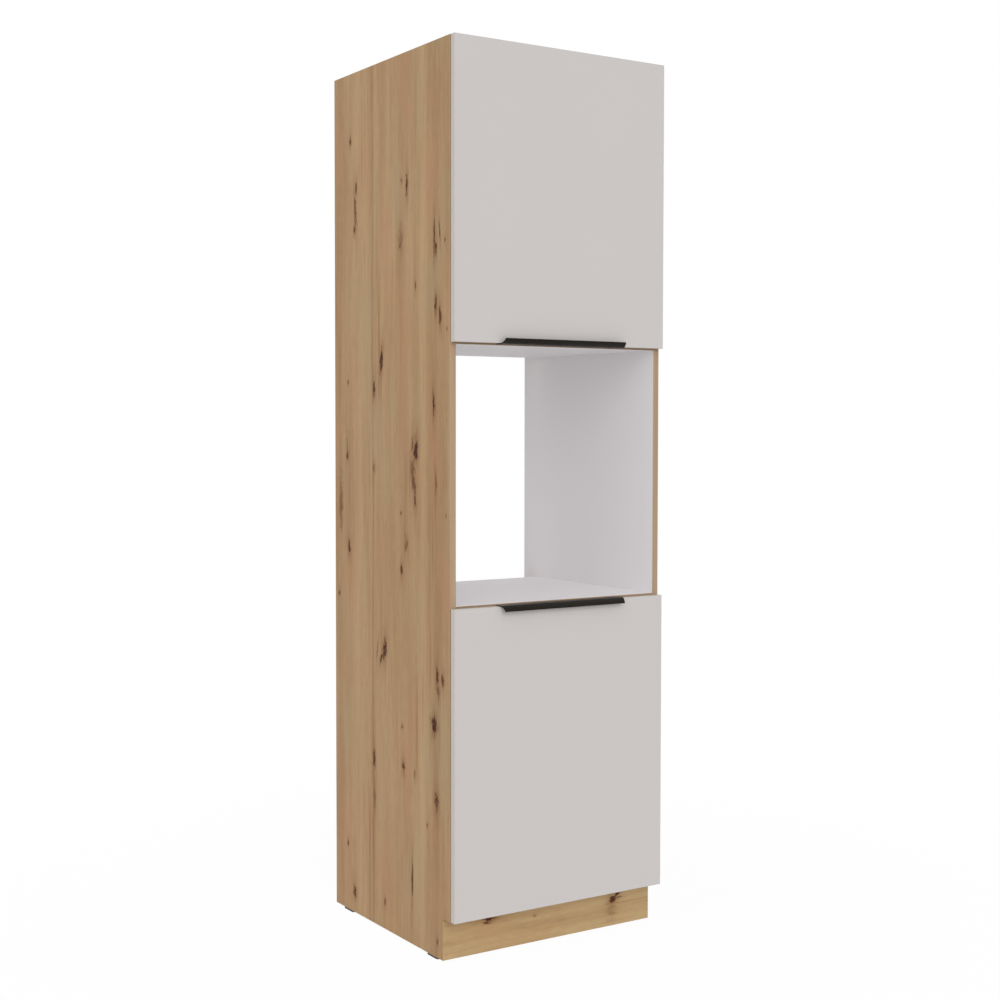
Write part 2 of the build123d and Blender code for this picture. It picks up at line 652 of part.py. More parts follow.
# Hinge cup with two lugs for the link pins
with BuildPart() as hinge_cup:
    with BuildSketch(DOOR_BACK):
        with Locations((CUP_X, 0)):
            Circle(CUP_R)
    extrude(amount=CUP_D)
    with BuildSketch(DOOR_BACK):
        with Locations((CUP_X, 0)):
            Circle(CUP_R + CUP_RIM)
            SlotOverall(CUP_SCREW_SPREAD + 2 * CUP_WING_R, 2 * CUP_WING_R, rotation=90)
    extrude(amount=-CUP_FLANGE_T)
    with BuildSketch(DOOR_BACK.offset(-CUP_FLANGE_T)):
        with Locations((CUP_X, 0)):
            Circle(CUP_R - CUP_WALL)
    extrude(amount=CUP_D - CUP_WALL + CUP_FLANGE_T, mode=Mode.SUBTRACT)
    for low in (LUG_Z, -LUG_Z - SHEET_T):
        with BuildSketch(Plane.XY.offset(low)):
            with Locations(CUP_PIVOT, OUTER_CUP_PIVOT):
                Circle(LUG_R)
            with Locations((CUP_PIVOT[0], DOOR_BACK_Y - CUP_D + CUP_WALL / 2)):
                Rectangle(LUG_FOOT_W, CUP_WALL)
            make_hull()
            with Locations(CUP_PIVOT):
                Circle(PIN_R, mode=Mode.SUBTRACT)
            with Locations(OUTER_CUP_PIVOT):
                Circle(RIVET_R, mode=Mode.SUBTRACT)
        extrude(amount=SHEET_T)
    with BuildSketch(DOOR_BACK.offset(-CUP_FLANGE_T)):
        with Locations((CUP_X, 0)):
            with GridLocations(1, CUP_SCREW_SPREAD, 1, 2):
                Circle(SCREW_R + FIT)
    extrude(amount=CUP_FLANGE_T, mode=Mode.SUBTRACT)

# Inner link: bent so that it clears the cup's rim when the door is open
link_angle = atan2(CUP_PIVOT[1] - ARM_PIVOT[1], CUP_PIVOT[0] - ARM_PIVOT[0])
link_length = hypot(CUP_PIVOT[1] - ARM_PIVOT[1], CUP_PIVOT[0] - ARM_PIVOT[0])
LINK_PLANE = Plane(
    origin=(ARM_PIVOT[0], ARM_PIVOT[1], -LINK_HALF_W),
    x_dir=(cos(link_angle), sin(link_angle), 0),
)
with BuildPart() as inner_link:
    with BuildSketch(LINK_PLANE):
        with BuildLine():
            Polyline(
                (0, 0),
                (link_length - LINK_BEND_FROM_CUP, -LINK_BEND_RISE),
                (link_length, 0),
            )
        trace(line_width=LINK_T)
        with Locations((0, 0), (link_length, 0)):
            Circle(LINK_EYE_R)
        with Locations((0, 0), (link_length, 0)):
            Circle(PIN_R + PIN_PLAY, mode=Mode.SUBTRACT)
    extrude(amount=2 * LINK_HALF_W)

# Outer link: a cheek on each side, with a slot at the cup end
outer_dx = OUTER_CUP_PIVOT[0] - OUTER_PIVOT[0]
outer_dy = OUTER_CUP_PIVOT[1] - OUTER_PIVOT[1]
outer_length = hypot(outer_dx, outer_dy)
with BuildPart() as outer_link:
    for low in (CHEEK_Z, -CHEEK_Z - SHEET_T):
        plane = Plane(origin=(*OUTER_PIVOT, low), x_dir=(outer_dx, outer_dy, 0))
        slot_mid = outer_length - OUTER_SLOT_TRAVEL / 2
        slot_w = 2 * (RIVET_R + OUTER_SLOT_SIDE_PLAY)
        slot_l = OUTER_SLOT_TRAVEL + 2 * (RIVET_R + OUTER_SLOT_END_PLAY)
        eye_w = slot_w + 2 * OUTER_SLOT_WALL
        eye_l = slot_l + 2 * OUTER_SLOT_WALL
        with BuildSketch(plane):
            with BuildLine():
                Line((0, 0), (slot_mid, 0))
            trace(line_width=OUTER_LINK_W)
            Circle(LINK_EYE_R)
            with Locations((slot_mid, 0)):
                RectangleRounded(eye_l, eye_w, OUTER_SLOT_WALL)
                Rectangle(slot_l, slot_w, mode=Mode.SUBTRACT)
            Circle(RIVET_R + PIN_PLAY, mode=Mode.SUBTRACT)
        extrude(amount=SHEET_T)

# Arm: a channel with two walls that carry the pivots, screwed on the mounting plate
arm_end_y = FRONT_Y + ARM_END_FROM_FRONT
arm_step_y = FRONT_Y + ARM_STEP_FROM_FRONT
arm_seat_x = SIDE_X - PLATE_T
with BuildPart() as hinge_arm:
    for low in (LUG_Z, -LUG_Z - SHEET_T):
        with BuildSketch(Plane.XY.offset(low)):
            with Locations(ARM_PIVOT, OUTER_PIVOT):
                Circle(LINK_EYE_R)
            with Locations((arm_seat_x - ARM_H / 2, arm_step_y)):
                Rectangle(ARM_H, SHEET_T)
            make_hull()
            with Locations((arm_seat_x - ARM_H / 2, (arm_step_y + arm_end_y) / 2)):
                Rectangle(ARM_H, arm_end_y - arm_step_y)
            with Locations(ARM_PIVOT):
                Circle(PIN_R, mode=Mode.SUBTRACT)
            with Locations(OUTER_PIVOT):
                Circle(RIVET_R, mode=Mode.SUBTRACT)
        extrude(amount=SHEET_T)
    with BuildSketch(Plane.XY.offset(-LUG_Z)):
        with Locations((arm_seat_x - ARM_H + SHEET_T / 2, (arm_step_y + arm_end_y) / 2)):
            Rectangle(SHEET_T, arm_end_y - arm_step_y)
    extrude(amount=2 * LUG_Z)
    with BuildSketch(Plane.YZ.offset(arm_seat_x)):
        with Locations((PLATE_Y + ARM_H, 0)):
            Circle(ARM_SCREW_R + FIT)
    extrude(amount=-ARM_H, mode=Mode.SUBTRACT)

# Mounting plate: a foot with two screws and a raised body that the arm sits on
with BuildPart() as mounting_plate:
    with BuildSketch(Plane.YZ.offset(SIDE_X)):
        with Locations((PLATE_Y, 0)):
            RectangleRounded(PLATE_FOOT_L, PLATE_FOOT_W, PLATE_FOOT_L / 4)
    extrude(amount=-PLATE_FOOT_T)
    with BuildSketch(Plane.YZ.offset(SIDE_X)):
        with Locations((arm_end_y - PLATE_L / 2, 0)):
            Rectangle(PLATE_L, 2 * (LUG_Z + SHEET_T))
    extrude(amount=-PLATE_T)
    with BuildSketch(Plane.YZ.offset(SIDE_X)):
        with Locations((PLATE_Y, 0)):
            with GridLocations(1, PLATE_SCREW_SPREAD, 1, 2):
                Circle(PLATE_SCREW_R + FIT)
        with Locations((PLATE_Y + ARM_H, 0)):
            Circle(ARM_SCREW_R + FIT)
    extrude(amount=-PLATE_T, mode=Mode.SUBTRACT)

with BuildPart() as plate_screw:
    with BuildSketch(Plane.YZ.offset(SIDE_X + PLATE_SCREW_IN)):
        with Locations((PLATE_Y, 0)):
            with GridLocations(1, PLATE_SCREW_SPREAD, 1, 2):
                Circle(PLATE_SCREW_R)
    extrude(amount=-PLATE_SCREW_IN - PLATE_FOOT_T)
    with BuildSketch(Plane.YZ.offset(SIDE_X - PLATE_FOOT_T)):
        with Locations((PLATE_Y, 0)):
            with GridLocations(1, PLATE_SCREW_SPREAD, 1, 2):
                Circle(ARM_SCREW_HEAD_R)
    extrude(amount=-SHEET_T)
    with BuildSketch(Plane.YZ.offset(SIDE_X)):
        with Locations((PLATE_Y + ARM_H, 0)):
            Circle(ARM_SCREW_R)
    extrude(amount=-PLATE_T - ARM_H)
    with BuildSketch(Plane.YZ.offset(arm_seat_x - ARM_H)):
        with Locations((PLATE_Y + ARM_H, 0)):
            Circle(ARM_SCREW_HEAD_R)
    extrude(amount=-SHEET_T)

# Pins of the inner link, and rivets of the outer link
pin_l = 2 * (LUG_Z + SHEET_T)
rivet_l = CHEEK_Z + SHEET_T - LUG_Z
with BuildPart() as arm_pin:
    with BuildSketch(Plane.XY.offset(-pin_l / 2)):
        with Locations(ARM_PIVOT):
            Circle(PIN_R)
    extrude(amount=pin_l)
    for low in (LUG_Z, -LUG_Z - rivet_l):
        with BuildSketch(Plane.XY.offset(low)):
            with Locations(OUTER_PIVOT):
                Circle(RIVET_R)
        extrude(amount=rivet_l)

with BuildPart() as cup_pin:
    with BuildSketch(Plane.XY.offset(-pin_l / 2)):
        with Locations(CUP_PIVOT):
            Circle(PIN_R)
    extrude(amount=pin_l)
    for low in (LUG_Z, -LUG_Z - rivet_l):
        with BuildSketch(Plane.XY.offset(low)):
            with Locations(OUTER_CUP_PIVOT):
                Circle(RIVET_R)
        extrude(amount=rivet_l)

# Doors with everything that is fixed to them, and their hinges
cup_screw = screw(SHORT_SCREW_L, countersunk=False)
handle_screw = screw(HANDLE_SCREW_L, countersunk=True)
for level, heights in HINGE_HEIGHTS.items():
    low, high = DOOR_SPANS[level]
    keep(f"{level}_door", door(level))
    keep(f"{level}_door_edge_band", door_band(level))
    keep(f"{level}_handle", edge_handle(level))
    keep(f"{level}_handle_screws", repeated(handle_screw, handle_screw_places(level)))
    with BuildPart() as bumpers:
        with BuildSketch(DOOR_BACK):
            with Locations((-SIDE_X - BOARD_T / 2, (low + high) / 2)):
                with GridLocations(1, high - low - 2 * BUMPER_FROM_END, 1, 2):
                    Circle(BUMPER_R)
        extrude(amount=-BUMPER_T)
    keep(f"{level}_door_bumpers", bumpers)
    flange_y = DOOR_BACK_Y + CUP_FLANGE_T
    screw_heights = [z + way * CUP_SCREW_SPREAD / 2 for z in heights for way in (-1, 1)]
    cup_screw_places = [Location((CUP_X, flange_y, z), (-90, 0, 0)) for z in screw_heights]
    keep(f"{level}_hinge_cups", repeated(hinge_cup, at_heights(heights)))
    keep(f"{level}_cup_screws", repeated(cup_screw, cup_screw_places))
    keep(f"{level}_cup_pins", repeated(cup_pin, at_heights(heights)))
    keep(f"{level}_inner_links", repeated(inner_link, at_heights(heights)))
    keep(f"{level}_outer_links", repeated(outer_link, at_heights(heights)))
    keep(f"{level}_hinge_arms", repeated(hinge_arm, at_heights(heights)))
    keep(f"{level}_arm_pins", repeated(arm_pin, at_heights(heights)))
    keep(f"{level}_mounting_plates", repeated(mounting_plate, at_heights(heights)))
    keep(f"{level}_plate_screws", repeated(plate_screw, at_heights(heights)))
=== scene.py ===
"""Looks of a tall oven cabinet: board decors, metal fittings, studio and camera.

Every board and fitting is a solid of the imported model, in metres. This script gives each of them a
procedural finish, replaces the handles and the visible screw heads with finer surfaces, and sets
the cabinet in a plain white studio, seen from the photograph's angle.
"""

import logging
import math
from collections.abc import Mapping, Sequence
from dataclasses import dataclass
from enum import Enum
from functools import reduce
from operator import or_
from typing import ClassVar

import bmesh
import bpy
import numpy as np
from mathutils import Matrix, Vector


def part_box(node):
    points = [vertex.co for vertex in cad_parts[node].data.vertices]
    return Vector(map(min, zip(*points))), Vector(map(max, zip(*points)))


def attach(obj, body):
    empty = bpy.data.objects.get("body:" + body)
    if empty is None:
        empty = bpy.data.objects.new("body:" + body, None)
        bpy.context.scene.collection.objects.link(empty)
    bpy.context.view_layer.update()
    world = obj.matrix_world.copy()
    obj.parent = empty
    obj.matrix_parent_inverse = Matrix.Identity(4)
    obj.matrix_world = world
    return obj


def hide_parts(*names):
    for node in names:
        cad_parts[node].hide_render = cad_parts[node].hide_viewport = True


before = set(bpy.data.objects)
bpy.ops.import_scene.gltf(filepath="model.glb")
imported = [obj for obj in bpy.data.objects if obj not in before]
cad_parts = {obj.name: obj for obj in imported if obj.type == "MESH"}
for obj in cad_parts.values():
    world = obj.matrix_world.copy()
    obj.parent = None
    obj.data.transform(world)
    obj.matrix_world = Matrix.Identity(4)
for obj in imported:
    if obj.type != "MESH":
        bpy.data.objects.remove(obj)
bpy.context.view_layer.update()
LOG = logging.getLogger("cabinet")

Triple = tuple[float, float, float]
Colour = Triple
Span = tuple[float, float]
Box = tuple[Vector, Vector]

MERGE_DISTANCE = 1e-7
SHARP_ANGLE = math.radians(32.0)
MILLIMETRE = 0.001
PURE_WHITE: Colour = (1.0, 1.0, 1.0)


def tint(red: int, green: int, blue: int) -> Colour:
    """Turns a screen colour into linear light, by the usual curve of screens.

    Args:
        red: Red from 0 to 255.
        green: Green from 0 to 255.
        blue: Blue from 0 to 255.

    Returns:
        The same colour in linear light, each part from 0 to 1.
    """
    screen = np.array([red, green, blue]) / 255.0
    linear = np.where(screen <= 0.04045, screen / 12.92, ((screen + 0.055) / 1.055) ** 2.4)
    return tuple(float(part) for part in linear)


class Wire:
    """An output socket. Arithmetic on it adds Math nodes to its tree."""

    def __init__(self, tree: "Tree", socket: bpy.types.NodeSocket) -> None:
        """Keeps the tree and the socket."""
        self.tree = tree
        self.socket = socket

    def math(self, operation: str, *values: "Value") -> "Wire":
        """Adds a Math node of that operation on the given values."""
        return self.tree.node("ShaderNodeMath", {"operation": operation}, dict(enumerate(values)))

    def __add__(self, other: "Value") -> "Wire":
        """Sum."""
        return self.math("ADD", self, other)

    def __radd__(self, other: "Value") -> "Wire":
        """Sum with a number in front."""
        return self.math("ADD", other, self)

    def __sub__(self, other: "Value") -> "Wire":
        """Difference."""
        return self.math("SUBTRACT", self, other)

    def __rsub__(self, other: "Value") -> "Wire":
        """Difference with a number in front."""
        return self.math("SUBTRACT", other, self)

    def __mul__(self, other: "Value") -> "Wire":
        """Product."""
        return self.math("MULTIPLY", self, other)

    def __rmul__(self, other: "Value") -> "Wire":
        """Product with a number in front."""
        return self.math("MULTIPLY", other, self)

    def __truediv__(self, other: "Value") -> "Wire":
        """Quotient."""
        return self.math("DIVIDE", self, other)

    def __rtruediv__(self, other: "Value") -> "Wire":
        """Quotient with a number in front."""
        return self.math("DIVIDE", other, self)

    def __lt__(self, other: "Value") -> "Wire":
        """1 where this is the smaller one, and 0 elsewhere."""
        return self.math("LESS_THAN", self, other)

    def __gt__(self, other: "Value") -> "Wire":
        """1 where this is the larger one, and 0 elsewhere."""
        return self.math("GREATER_THAN", self, other)

    def __or__(self, other: "Value") -> "Wire":
        """The larger of the two."""
        return self.math("MAXIMUM", self, other)

    def __ror__(self, other: "Value") -> "Wire":
        """The larger of a number and this."""
        return self.math("MAXIMUM", other, self)

    def __abs__(self) -> "Wire":
        """Size without the sign."""
        return self.math("ABSOLUTE", self)

    def sine(self) -> "Wire":
        """Sine of an angle in radians."""
        return self.math("SINE", self)


Value = Wire | float
Paint = Wire | Colour


class Tree:
    """A node tree that is filled through one method."""

    def __init__(self, owner: bpy.types.Material | bpy.types.World) -> None:
        """Empties the owner's node tree and takes it over.

        Args:
            owner: The material or world that the tree belongs to.
        """
        owner.use_nodes = True
        self.nodes = owner.node_tree.nodes
        self.links = owner.node_tree.links
        self.nodes.clear()
        self._axes: list[Wire] = []

    def node(
        self,
        kind: str,
        settings: Mapping[str, object] | None = None,
        sockets: Mapping[int | str, object] | None = None,
        out: int | str = 0,
    ) -> Wire:
        """Adds a node.

        Args:
            kind: The node's type.
            settings: Its attributes, set first; "stops" are a ramp's (position, tone) pairs.
            sockets: Values or wires of its inputs, by name or number.
            out: The output to hand back, by name or number.

        Returns:
            The chosen output.
        """
        node = self.nodes.new(kind)
        for key, value in (settings or {}).items():
            if key == "stops":
                self._set_stops(node.color_ramp, value)
            else:
                setattr(node, key, value)
        for key, value in (sockets or {}).items():
            socket = node.inputs[key]
            if isinstance(value, Wire):
                self.links.new(value.socket, socket)
            elif socket.type == "RGBA":
                socket.default_value = (*value, 1.0)
            else:
                socket.default_value = value
        return Wire(self, node.outputs[out] if node.outputs else None)

    @staticmethod
    def _set_stops(ramp: bpy.types.ColorRamp, stops: Sequence[Span]) -> None:
        """Gives a ramp its grey stops, with soft turns between them.

        Args:
            ramp: The ramp.
            stops: Position and tone of each stop, from 0 to 1.
        """
        ramp.interpolation = "EASE"
        while len(ramp.elements) < len(stops):
            ramp.elements.new(1.0)
        for element, (position, tone) in zip(ramp.elements, stops):
            element.position = position
            element.color = (tone, tone, tone, 1.0)

    @property
    def axes(self) -> list[Wire]:
        """The three parts of the point on the object, in metres.

        Returns:
            X, Y and Z, made at the first use.
        """
        if not self._axes:
            place = self.node("ShaderNodeTexCoord", out="Object")
            first = self.node("ShaderNodeSeparateXYZ", sockets={0: place}, out="X")
            outputs = first.socket.node.outputs
            self._axes = [Wire(self, outputs[name]) for name in "XYZ"]
        return self._axes

    def vector(self, x: Value, y: Value, z: Value = 0.0) -> Wire:
        """Three values as one vector."""
        return self.node("ShaderNodeCombineXYZ", sockets={0: x, 1: y, 2: z})

    def vector_math(self, operation: str, *values: Wire | Triple, out: str = "Vector") -> Wire:
        """Adds a Vector Math node of that operation on the given values."""
        settings = {"operation": operation}
        return self.node("ShaderNodeVectorMath", settings, dict(enumerate(values)), out)

    def step(self, value: Value, low: float, high: float) -> Wire:
        """Rises smoothly from 0 at low to 1 at high, or falls if high is the smaller one."""
        sockets = {"Value": value, "From Min": low, "From Max": high}
        return self.node("ShaderNodeMapRange", {"interpolation_type": "SMOOTHSTEP"}, sockets)

    def mix(self, factor: Value, first: Paint, second: Paint, way: str = "MIX") -> Wire:
        """Two colours mixed by a factor."""
        settings = {"data_type": "RGBA", "blend_type": way}
        return self.node("ShaderNodeMix", settings, {0: factor, 6: first, 7: second}, out=2)


@dataclass(frozen=True)
class Noise:
    """A soft noise, and its shares in a finish.

    Attributes:
        scale: Cycles in a metre, along each axis that it is read on.
        seed: The slice that is shown of a noise on two axes.
        detail: How many finer noises are added to it.
        tone: What it adds to the tone.
        rough: What it adds to the roughness.
        relief: What it adds to the height, in millimetres.
    """

    scale: tuple[float, ...]
    seed: float = 0.0
    detail: float = 2.0
    tone: float = 0.0
    rough: float = 0.0
    relief: float = 0.0

    def read(self, tree: Tree, axes: Sequence[Wire], out: str = "Fac") -> Wire:
        """Reads the noise at a point.

        Args:
            tree: The material's tree.
            axes: The point's parts in metres, as many as the scale has.
            out: "Fac" for one number, "Color" for three.

        Returns:
            The noise, about 0.5 on average.
        """
        parts: list[Value] = [axis * scale for axis, scale in zip(axes, self.scale)]
        if len(parts) == 2:
            parts.append(self.seed)
        sockets = {"Vector": tree.vector(*parts), "Scale": 1.0, "Detail": self.detail}
        return tree.node("ShaderNodeTexNoise", sockets=sockets, out=out)

    def at(self, tree: Tree, axes: Sequence[Wire]) -> Wire:
        """The noise at a point, about 0 on average."""
        return self.read(tree, axes) - 0.5


@dataclass(frozen=True)
class Layer:
    """What a finish gives to a point of a surface.

    Attributes:
        colour: Base colour.
        roughness: From 0, mirror, to 1, chalk.
        height: Relief in millimetres.
    """

    colour: Paint
    roughness: Value
    height: Value

    def covered(self, tree: Tree, mask: Wire, top: "Layer") -> "Layer":
        """Lays another layer over this one.

        Args:
            tree: The material's tree.
            mask: 1 where the other layer shows.
            top: The other layer.

        Returns:
            Both as one layer.
        """
        return Layer(
            tree.mix(mask, self.colour, top.colour),
            self.roughness + (top.roughness - self.roughness) * mask,
            self.height + (top.height - self.height) * mask,
        )


class Face(Enum):
    """A side of a box, as its axis and its end of that axis."""

    LEFT = (0, -1)
    RIGHT = (0, 1)
    FRONT = (1, -1)
    REAR = (1, 1)
    BOTTOM = (2, -1)
    TOP = (2, 1)

    def mask(self, tree: Tree, box: Box, depth: float) -> Wire:
        """Finds the skin on this side of a box.

        Args:
            tree: The material's tree.
            box: The box's lowest and highest corners.
            depth: Thickness of the skin in metres.

        Returns:
            1 within the skin, and 0 elsewhere.
        """
        axis, way = self.value
        if way < 0:
            return tree.axes[axis] < box[0][axis] + depth
        return tree.axes[axis] > box[1][axis] - depth


class Grain(Enum):
    """The axis that a board's or band's grain follows."""

    ALONG_X = 0
    ALONG_Z = 2


class Level(Enum):
    """One of the two closed compartments, and which way its door's handle edge looks."""

    LOWER = ("lower", 1)
    UPPER = ("upper", -1)

    def node(self, name: str) -> str:
        """The name of this level's own node of a kind."""
        return f"{self.value[0]}_{name}"


@dataclass(frozen=True)
class Finish:
    """A surface finish. Each kind says how it looks at a point.

    Attributes:
        specular: Strength of the clear reflection, 0.5 for plastic and lacquer.
        metallic: 1 for bare metal.
        rough: Mean roughness.
    """

    specular: float = 0.5
    metallic: float = 0.0
    rough: float = 0.5

    def layer(self, tree: Tree, across: Wire, along: Wire) -> Layer:
        """The look at a point given across and along the grain, in metres."""
        raise NotImplementedError

    def sums(self, tree: Tree, axes: Sequence[Wire], *noises: Noise) -> tuple[Value, ...]:
        """Adds up what some noises do at a point.

        Args:
            tree: The material's tree.
            axes: The point's parts in metres.
            noises: The noises.

        Returns:
            The tone, about 0.5 on average, the roughness, and the height in millimetres.
        """
        sums: list[Value] = [0.5, self.rough, 0.0]
        for noise in noises:
            value = noise.at(tree, axes)
            shares = (noise.tone, noise.rough, noise.relief)
            sums = [part + value * share if share else part for part, share in zip(sums, shares)]
        return tuple(sums)

    def material(self, name: str, grain: Grain = Grain.ALONG_Z) -> bpy.types.Material:
        """Makes a material of this finish alone.

        Args:
            name: The material's name.
            grain: The way its grain runs.

        Returns:
            The material.
        """
        material = bpy.data.materials.new(name)
        tree = Tree(material)
        x, y, z = tree.axes
        way = (z, x) if grain is Grain.ALONG_X else (x + y, z)
        self.close(tree, self.layer(tree, *way))
        return material

    def close(self, tree: Tree, layer: Layer) -> None:
        """Ends a tree in a shader that shows the layer.

        Args:
            tree: The material's tree.
            layer: What the surface looks like.
        """
        bump = {"Strength": 1.0, "Distance": MILLIMETRE, "Height": layer.height}
        sockets = {
            "Base Color": layer.colour,
            "Roughness": layer.roughness,
            "Metallic": self.metallic,
            "Specular IOR Level": self.specular,
            "Normal": tree.node("ShaderNodeBump", sockets=bump),
        }
        shader = tree.node("ShaderNodeBsdfPrincipled", sockets=sockets)
        tree.node("ShaderNodeOutputMaterial", sockets={"Surface": shader})


@dataclass(frozen=True)
class TwoTone(Finish):
    """A finish between two colours.

    Attributes:
        pale: Colour of the light parts.
        deep: Colour of the dark parts.
    """

    pale: Colour = PURE_WHITE
    deep: Colour = PURE_WHITE

    def between(self, tree: Tree, tone: Wire, low: float = 0.0, high: float = 1.0) -> Wire:
        """The colour at a tone: deep at the low one, and pale at the high one."""
        return tree.mix(tree.step(tone, low, high), self.deep, self.pale)


@dataclass(frozen=True)
class Knot:
    """A knot or crack in the oak decor, in millimetres.

    Attributes:
        across: From the sheet's start to its middle, across the grain.
        along: From the sheet's start to its middle, along the grain.
        width: Width of the dark core.
        length: Length of the dark core.
        dark: How dark the core is, from 0 to 1.
        lean: Turn of its length, in degrees; its far end lies further across if that is positive.
    """

    across: float
    along: float
    width: float
    length: float
    dark: float = 0.9
    lean: float = 0.0


@dataclass(frozen=True)
class Oak(TwoTone):
    """Printed knotty oak on laminate.

    Attributes:
        start: Where the decor starts across and along the grain, in metres.
        turn: 1 or -1 for each of these, to turn the sheet round.
        width: Width of the sheet in metres.
        stripes: Slow tone across the sheet, as (share of the width, tone) stops.
        knots: The sheet's knots and cracks.
        tear: How much the fibres tear the knots' borders, in half widths of a knot.
        rosy: Colour of the reddish heartwood streaks.
        olive: Colour of the greyish sapwood streaks.
        ring: Colour of the wood around a knot.
        heart: Colour of a knot's core.
    """

    specular: float = 0.12
    pale: Colour = tint(193, 163, 124)
    deep: Colour = tint(156, 120, 84)
    start: Span = (0.0, 0.0)
    turn: tuple[int, int] = (1, 1)
    width: float = 0.565
    stripes: tuple[Span, ...] = ((0.0, 0.5), (1.0, 0.5))
    knots: tuple[Knot, ...] = ()
    tear: float = 1.8
    rosy: Colour = tint(185, 137, 104)
    olive: Colour = tint(175, 153, 118)
    ring: Colour = tint(130, 89, 56)
    heart: Colour = tint(70, 36, 22)

    # The noises, from the sway of the lines to single fibres, and those that fray the knots.
    WAVER: ClassVar[Noise] = Noise((5.0, 1.6))
    SHIVER: ClassVar[Noise] = Noise((34.0, 6.5), 9.0)
    BROAD: ClassVar[Noise] = Noise((30.0, 1.5), 3.0, tone=0.70)
    STREAK: ClassVar[Noise] = Noise((90.0, 4.5), 7.0, 3.0, tone=0.33)
    FLECK: ClassVar[Noise] = Noise((130.0, 26.0), 13.0, 3.0, tone=0.31)
    FINE: ClassVar[Noise] = Noise((700.0, 60.0), 11.0, 3.0, tone=0.28, rough=0.16, relief=0.030)
    BLUSH: ClassVar[Noise] = Noise((12.0, 3.0), 17.0, 3.0)
    PORES: ClassVar[Noise] = Noise((950.0, 26.0), 5.0, relief=-0.020)
    RIDGE: ClassVar[Noise] = Noise((60.0, 0.9), 21.0)
    SHOWN: ClassVar[Noise] = Noise((30.0, 2.4), 23.0)
    FRAY: ClassVar[Noise] = Noise((150.0, 55.0), detail=3.0)
    TORN: ClassVar[Noise] = Noise((220.0, 65.0), detail=3.0)

    # How far the lines sway, slowly and quickly, and bend round a knot, in metres.
    SWAY: ClassVar[Triple] = (0.012, 0.003, 0.006)
    # Between which values a noise or distance takes effect.
    TONE_SPAN: ClassVar[Span] = (-0.05, 1.05)
    ROSY_SPAN: ClassVar[Span] = (-0.01, 0.22)
    OLIVE_SPAN: ClassVar[Span] = (-0.01, -0.20)
    PORE_SPAN: ClassVar[Span] = (0.10, 0.24)
    RIDGE_SPAN: ClassVar[Span] = (0.030, 0.004)
    SHOWN_SPAN: ClassVar[Span] = (0.0, 0.18)
    CORE_SPAN: ClassVar[Span] = (1.05, 0.65)
    HALO_SPAN: ClassVar[Span] = (2.2, 0.6)
    FLAME_SPAN: ClassVar[Span] = (1.1, 0.0)
    # How much of its colour each mark takes on.
    ROSY_SHARE: ClassVar[float] = 0.44
    OLIVE_SHARE: ClassVar[float] = 0.46
    FIBRE_SHARE: ClassVar[float] = 0.45
    PORE_SHARE: ClassVar[float] = 0.20
    FLAME_SHARE: ClassVar[float] = 0.34
    HALO_SHARE: ClassVar[float] = 0.42
    FAINT_HALO: ClassVar[float] = 0.35
    # How much the noises break the marks up.
    HALO_FLECK: ClassVar[float] = 1.8
    CORE_TORN: ClassVar[float] = 1.6
    HALO_TORN: ClassVar[float] = 1.4
    FRAYED: ClassVar[Triple] = (2.2, 1.6, 0.0)
    # A core's width and length, as shares of those of the flame that is drawn out from it.
    DRAWN: ClassVar[Triple] = (0.42, 0.24, 0.0)
    # What a core adds to the roughness.
    CORE_ROUGH: ClassVar[float] = 0.10

    def layer(self, tree: Tree, across: Wire, along: Wire) -> Layer:
        """The look at a point given across and along the grain, in metres.

        The tone adds a slow stripe pattern, and noises stretched along the grain from broad
        bands to single fibres. Pores and dark fibres, halos and cores of knots go on top.

        Args:
            tree: The material's tree.
            across: The point across the grain.
            along: The point along the grain.

        Returns:
            Colour, roughness and relief.
        """
        u = (across - self.start[0]) * self.turn[0]
        v = (along - self.start[1]) * self.turn[1]
        slow, quick, bend = self.SWAY
        sway = u + self.WAVER.at(tree, (u, v)) * slow + self.SHIVER.at(tree, (u, v)) * quick
        core, halo, flame = self._knot_masks(tree, u, v)
        bent = sway + halo * bend
        fleck = self.FLECK.at(tree, (bent, v))
        fine = self.FINE.at(tree, (sway, v))
        tone = tree.node("ShaderNodeValToRGB", {"stops": self.stripes}, {0: sway / self.width})
        for noise in (self.BROAD, self.STREAK):
            tone = tone + noise.at(tree, (bent, v)) * noise.tone
        tone = tone + fleck * self.FLECK.tone + fine * self.FINE.tone
        colour = self.between(tree, tone, *self.TONE_SPAN)
        blush = self.BLUSH.at(tree, (sway, v))
        rosy = tree.step(blush, *self.ROSY_SPAN) * self.ROSY_SHARE
        olive = tree.step(blush, *self.OLIVE_SPAN) * self.OLIVE_SHARE
        pores = tree.step(self.PORES.at(tree, (sway, v)), *self.PORE_SPAN)
        fibres = self._fibres(tree, bent, v) * self.FIBRE_SHARE + pores * self.PORE_SHARE
        flames = flame * (self.FLAME_SHARE + fleck)
        halos = halo * (self.HALO_SHARE + fleck * self.HALO_FLECK)
        marks = [(rosy, self.rosy), (olive, self.olive)]
        marks += [(mark, self.ring) for mark in (fibres, flames, halos, core)]
        for mark, shade in [*marks, (core * core, self.heart)]:
            colour = tree.mix(mark, colour, shade)
        rough = self.rough + fine * self.FINE.rough + core * self.CORE_ROUGH
        return Layer(colour, rough, fine * self.FINE.relief + pores * self.PORES.relief)

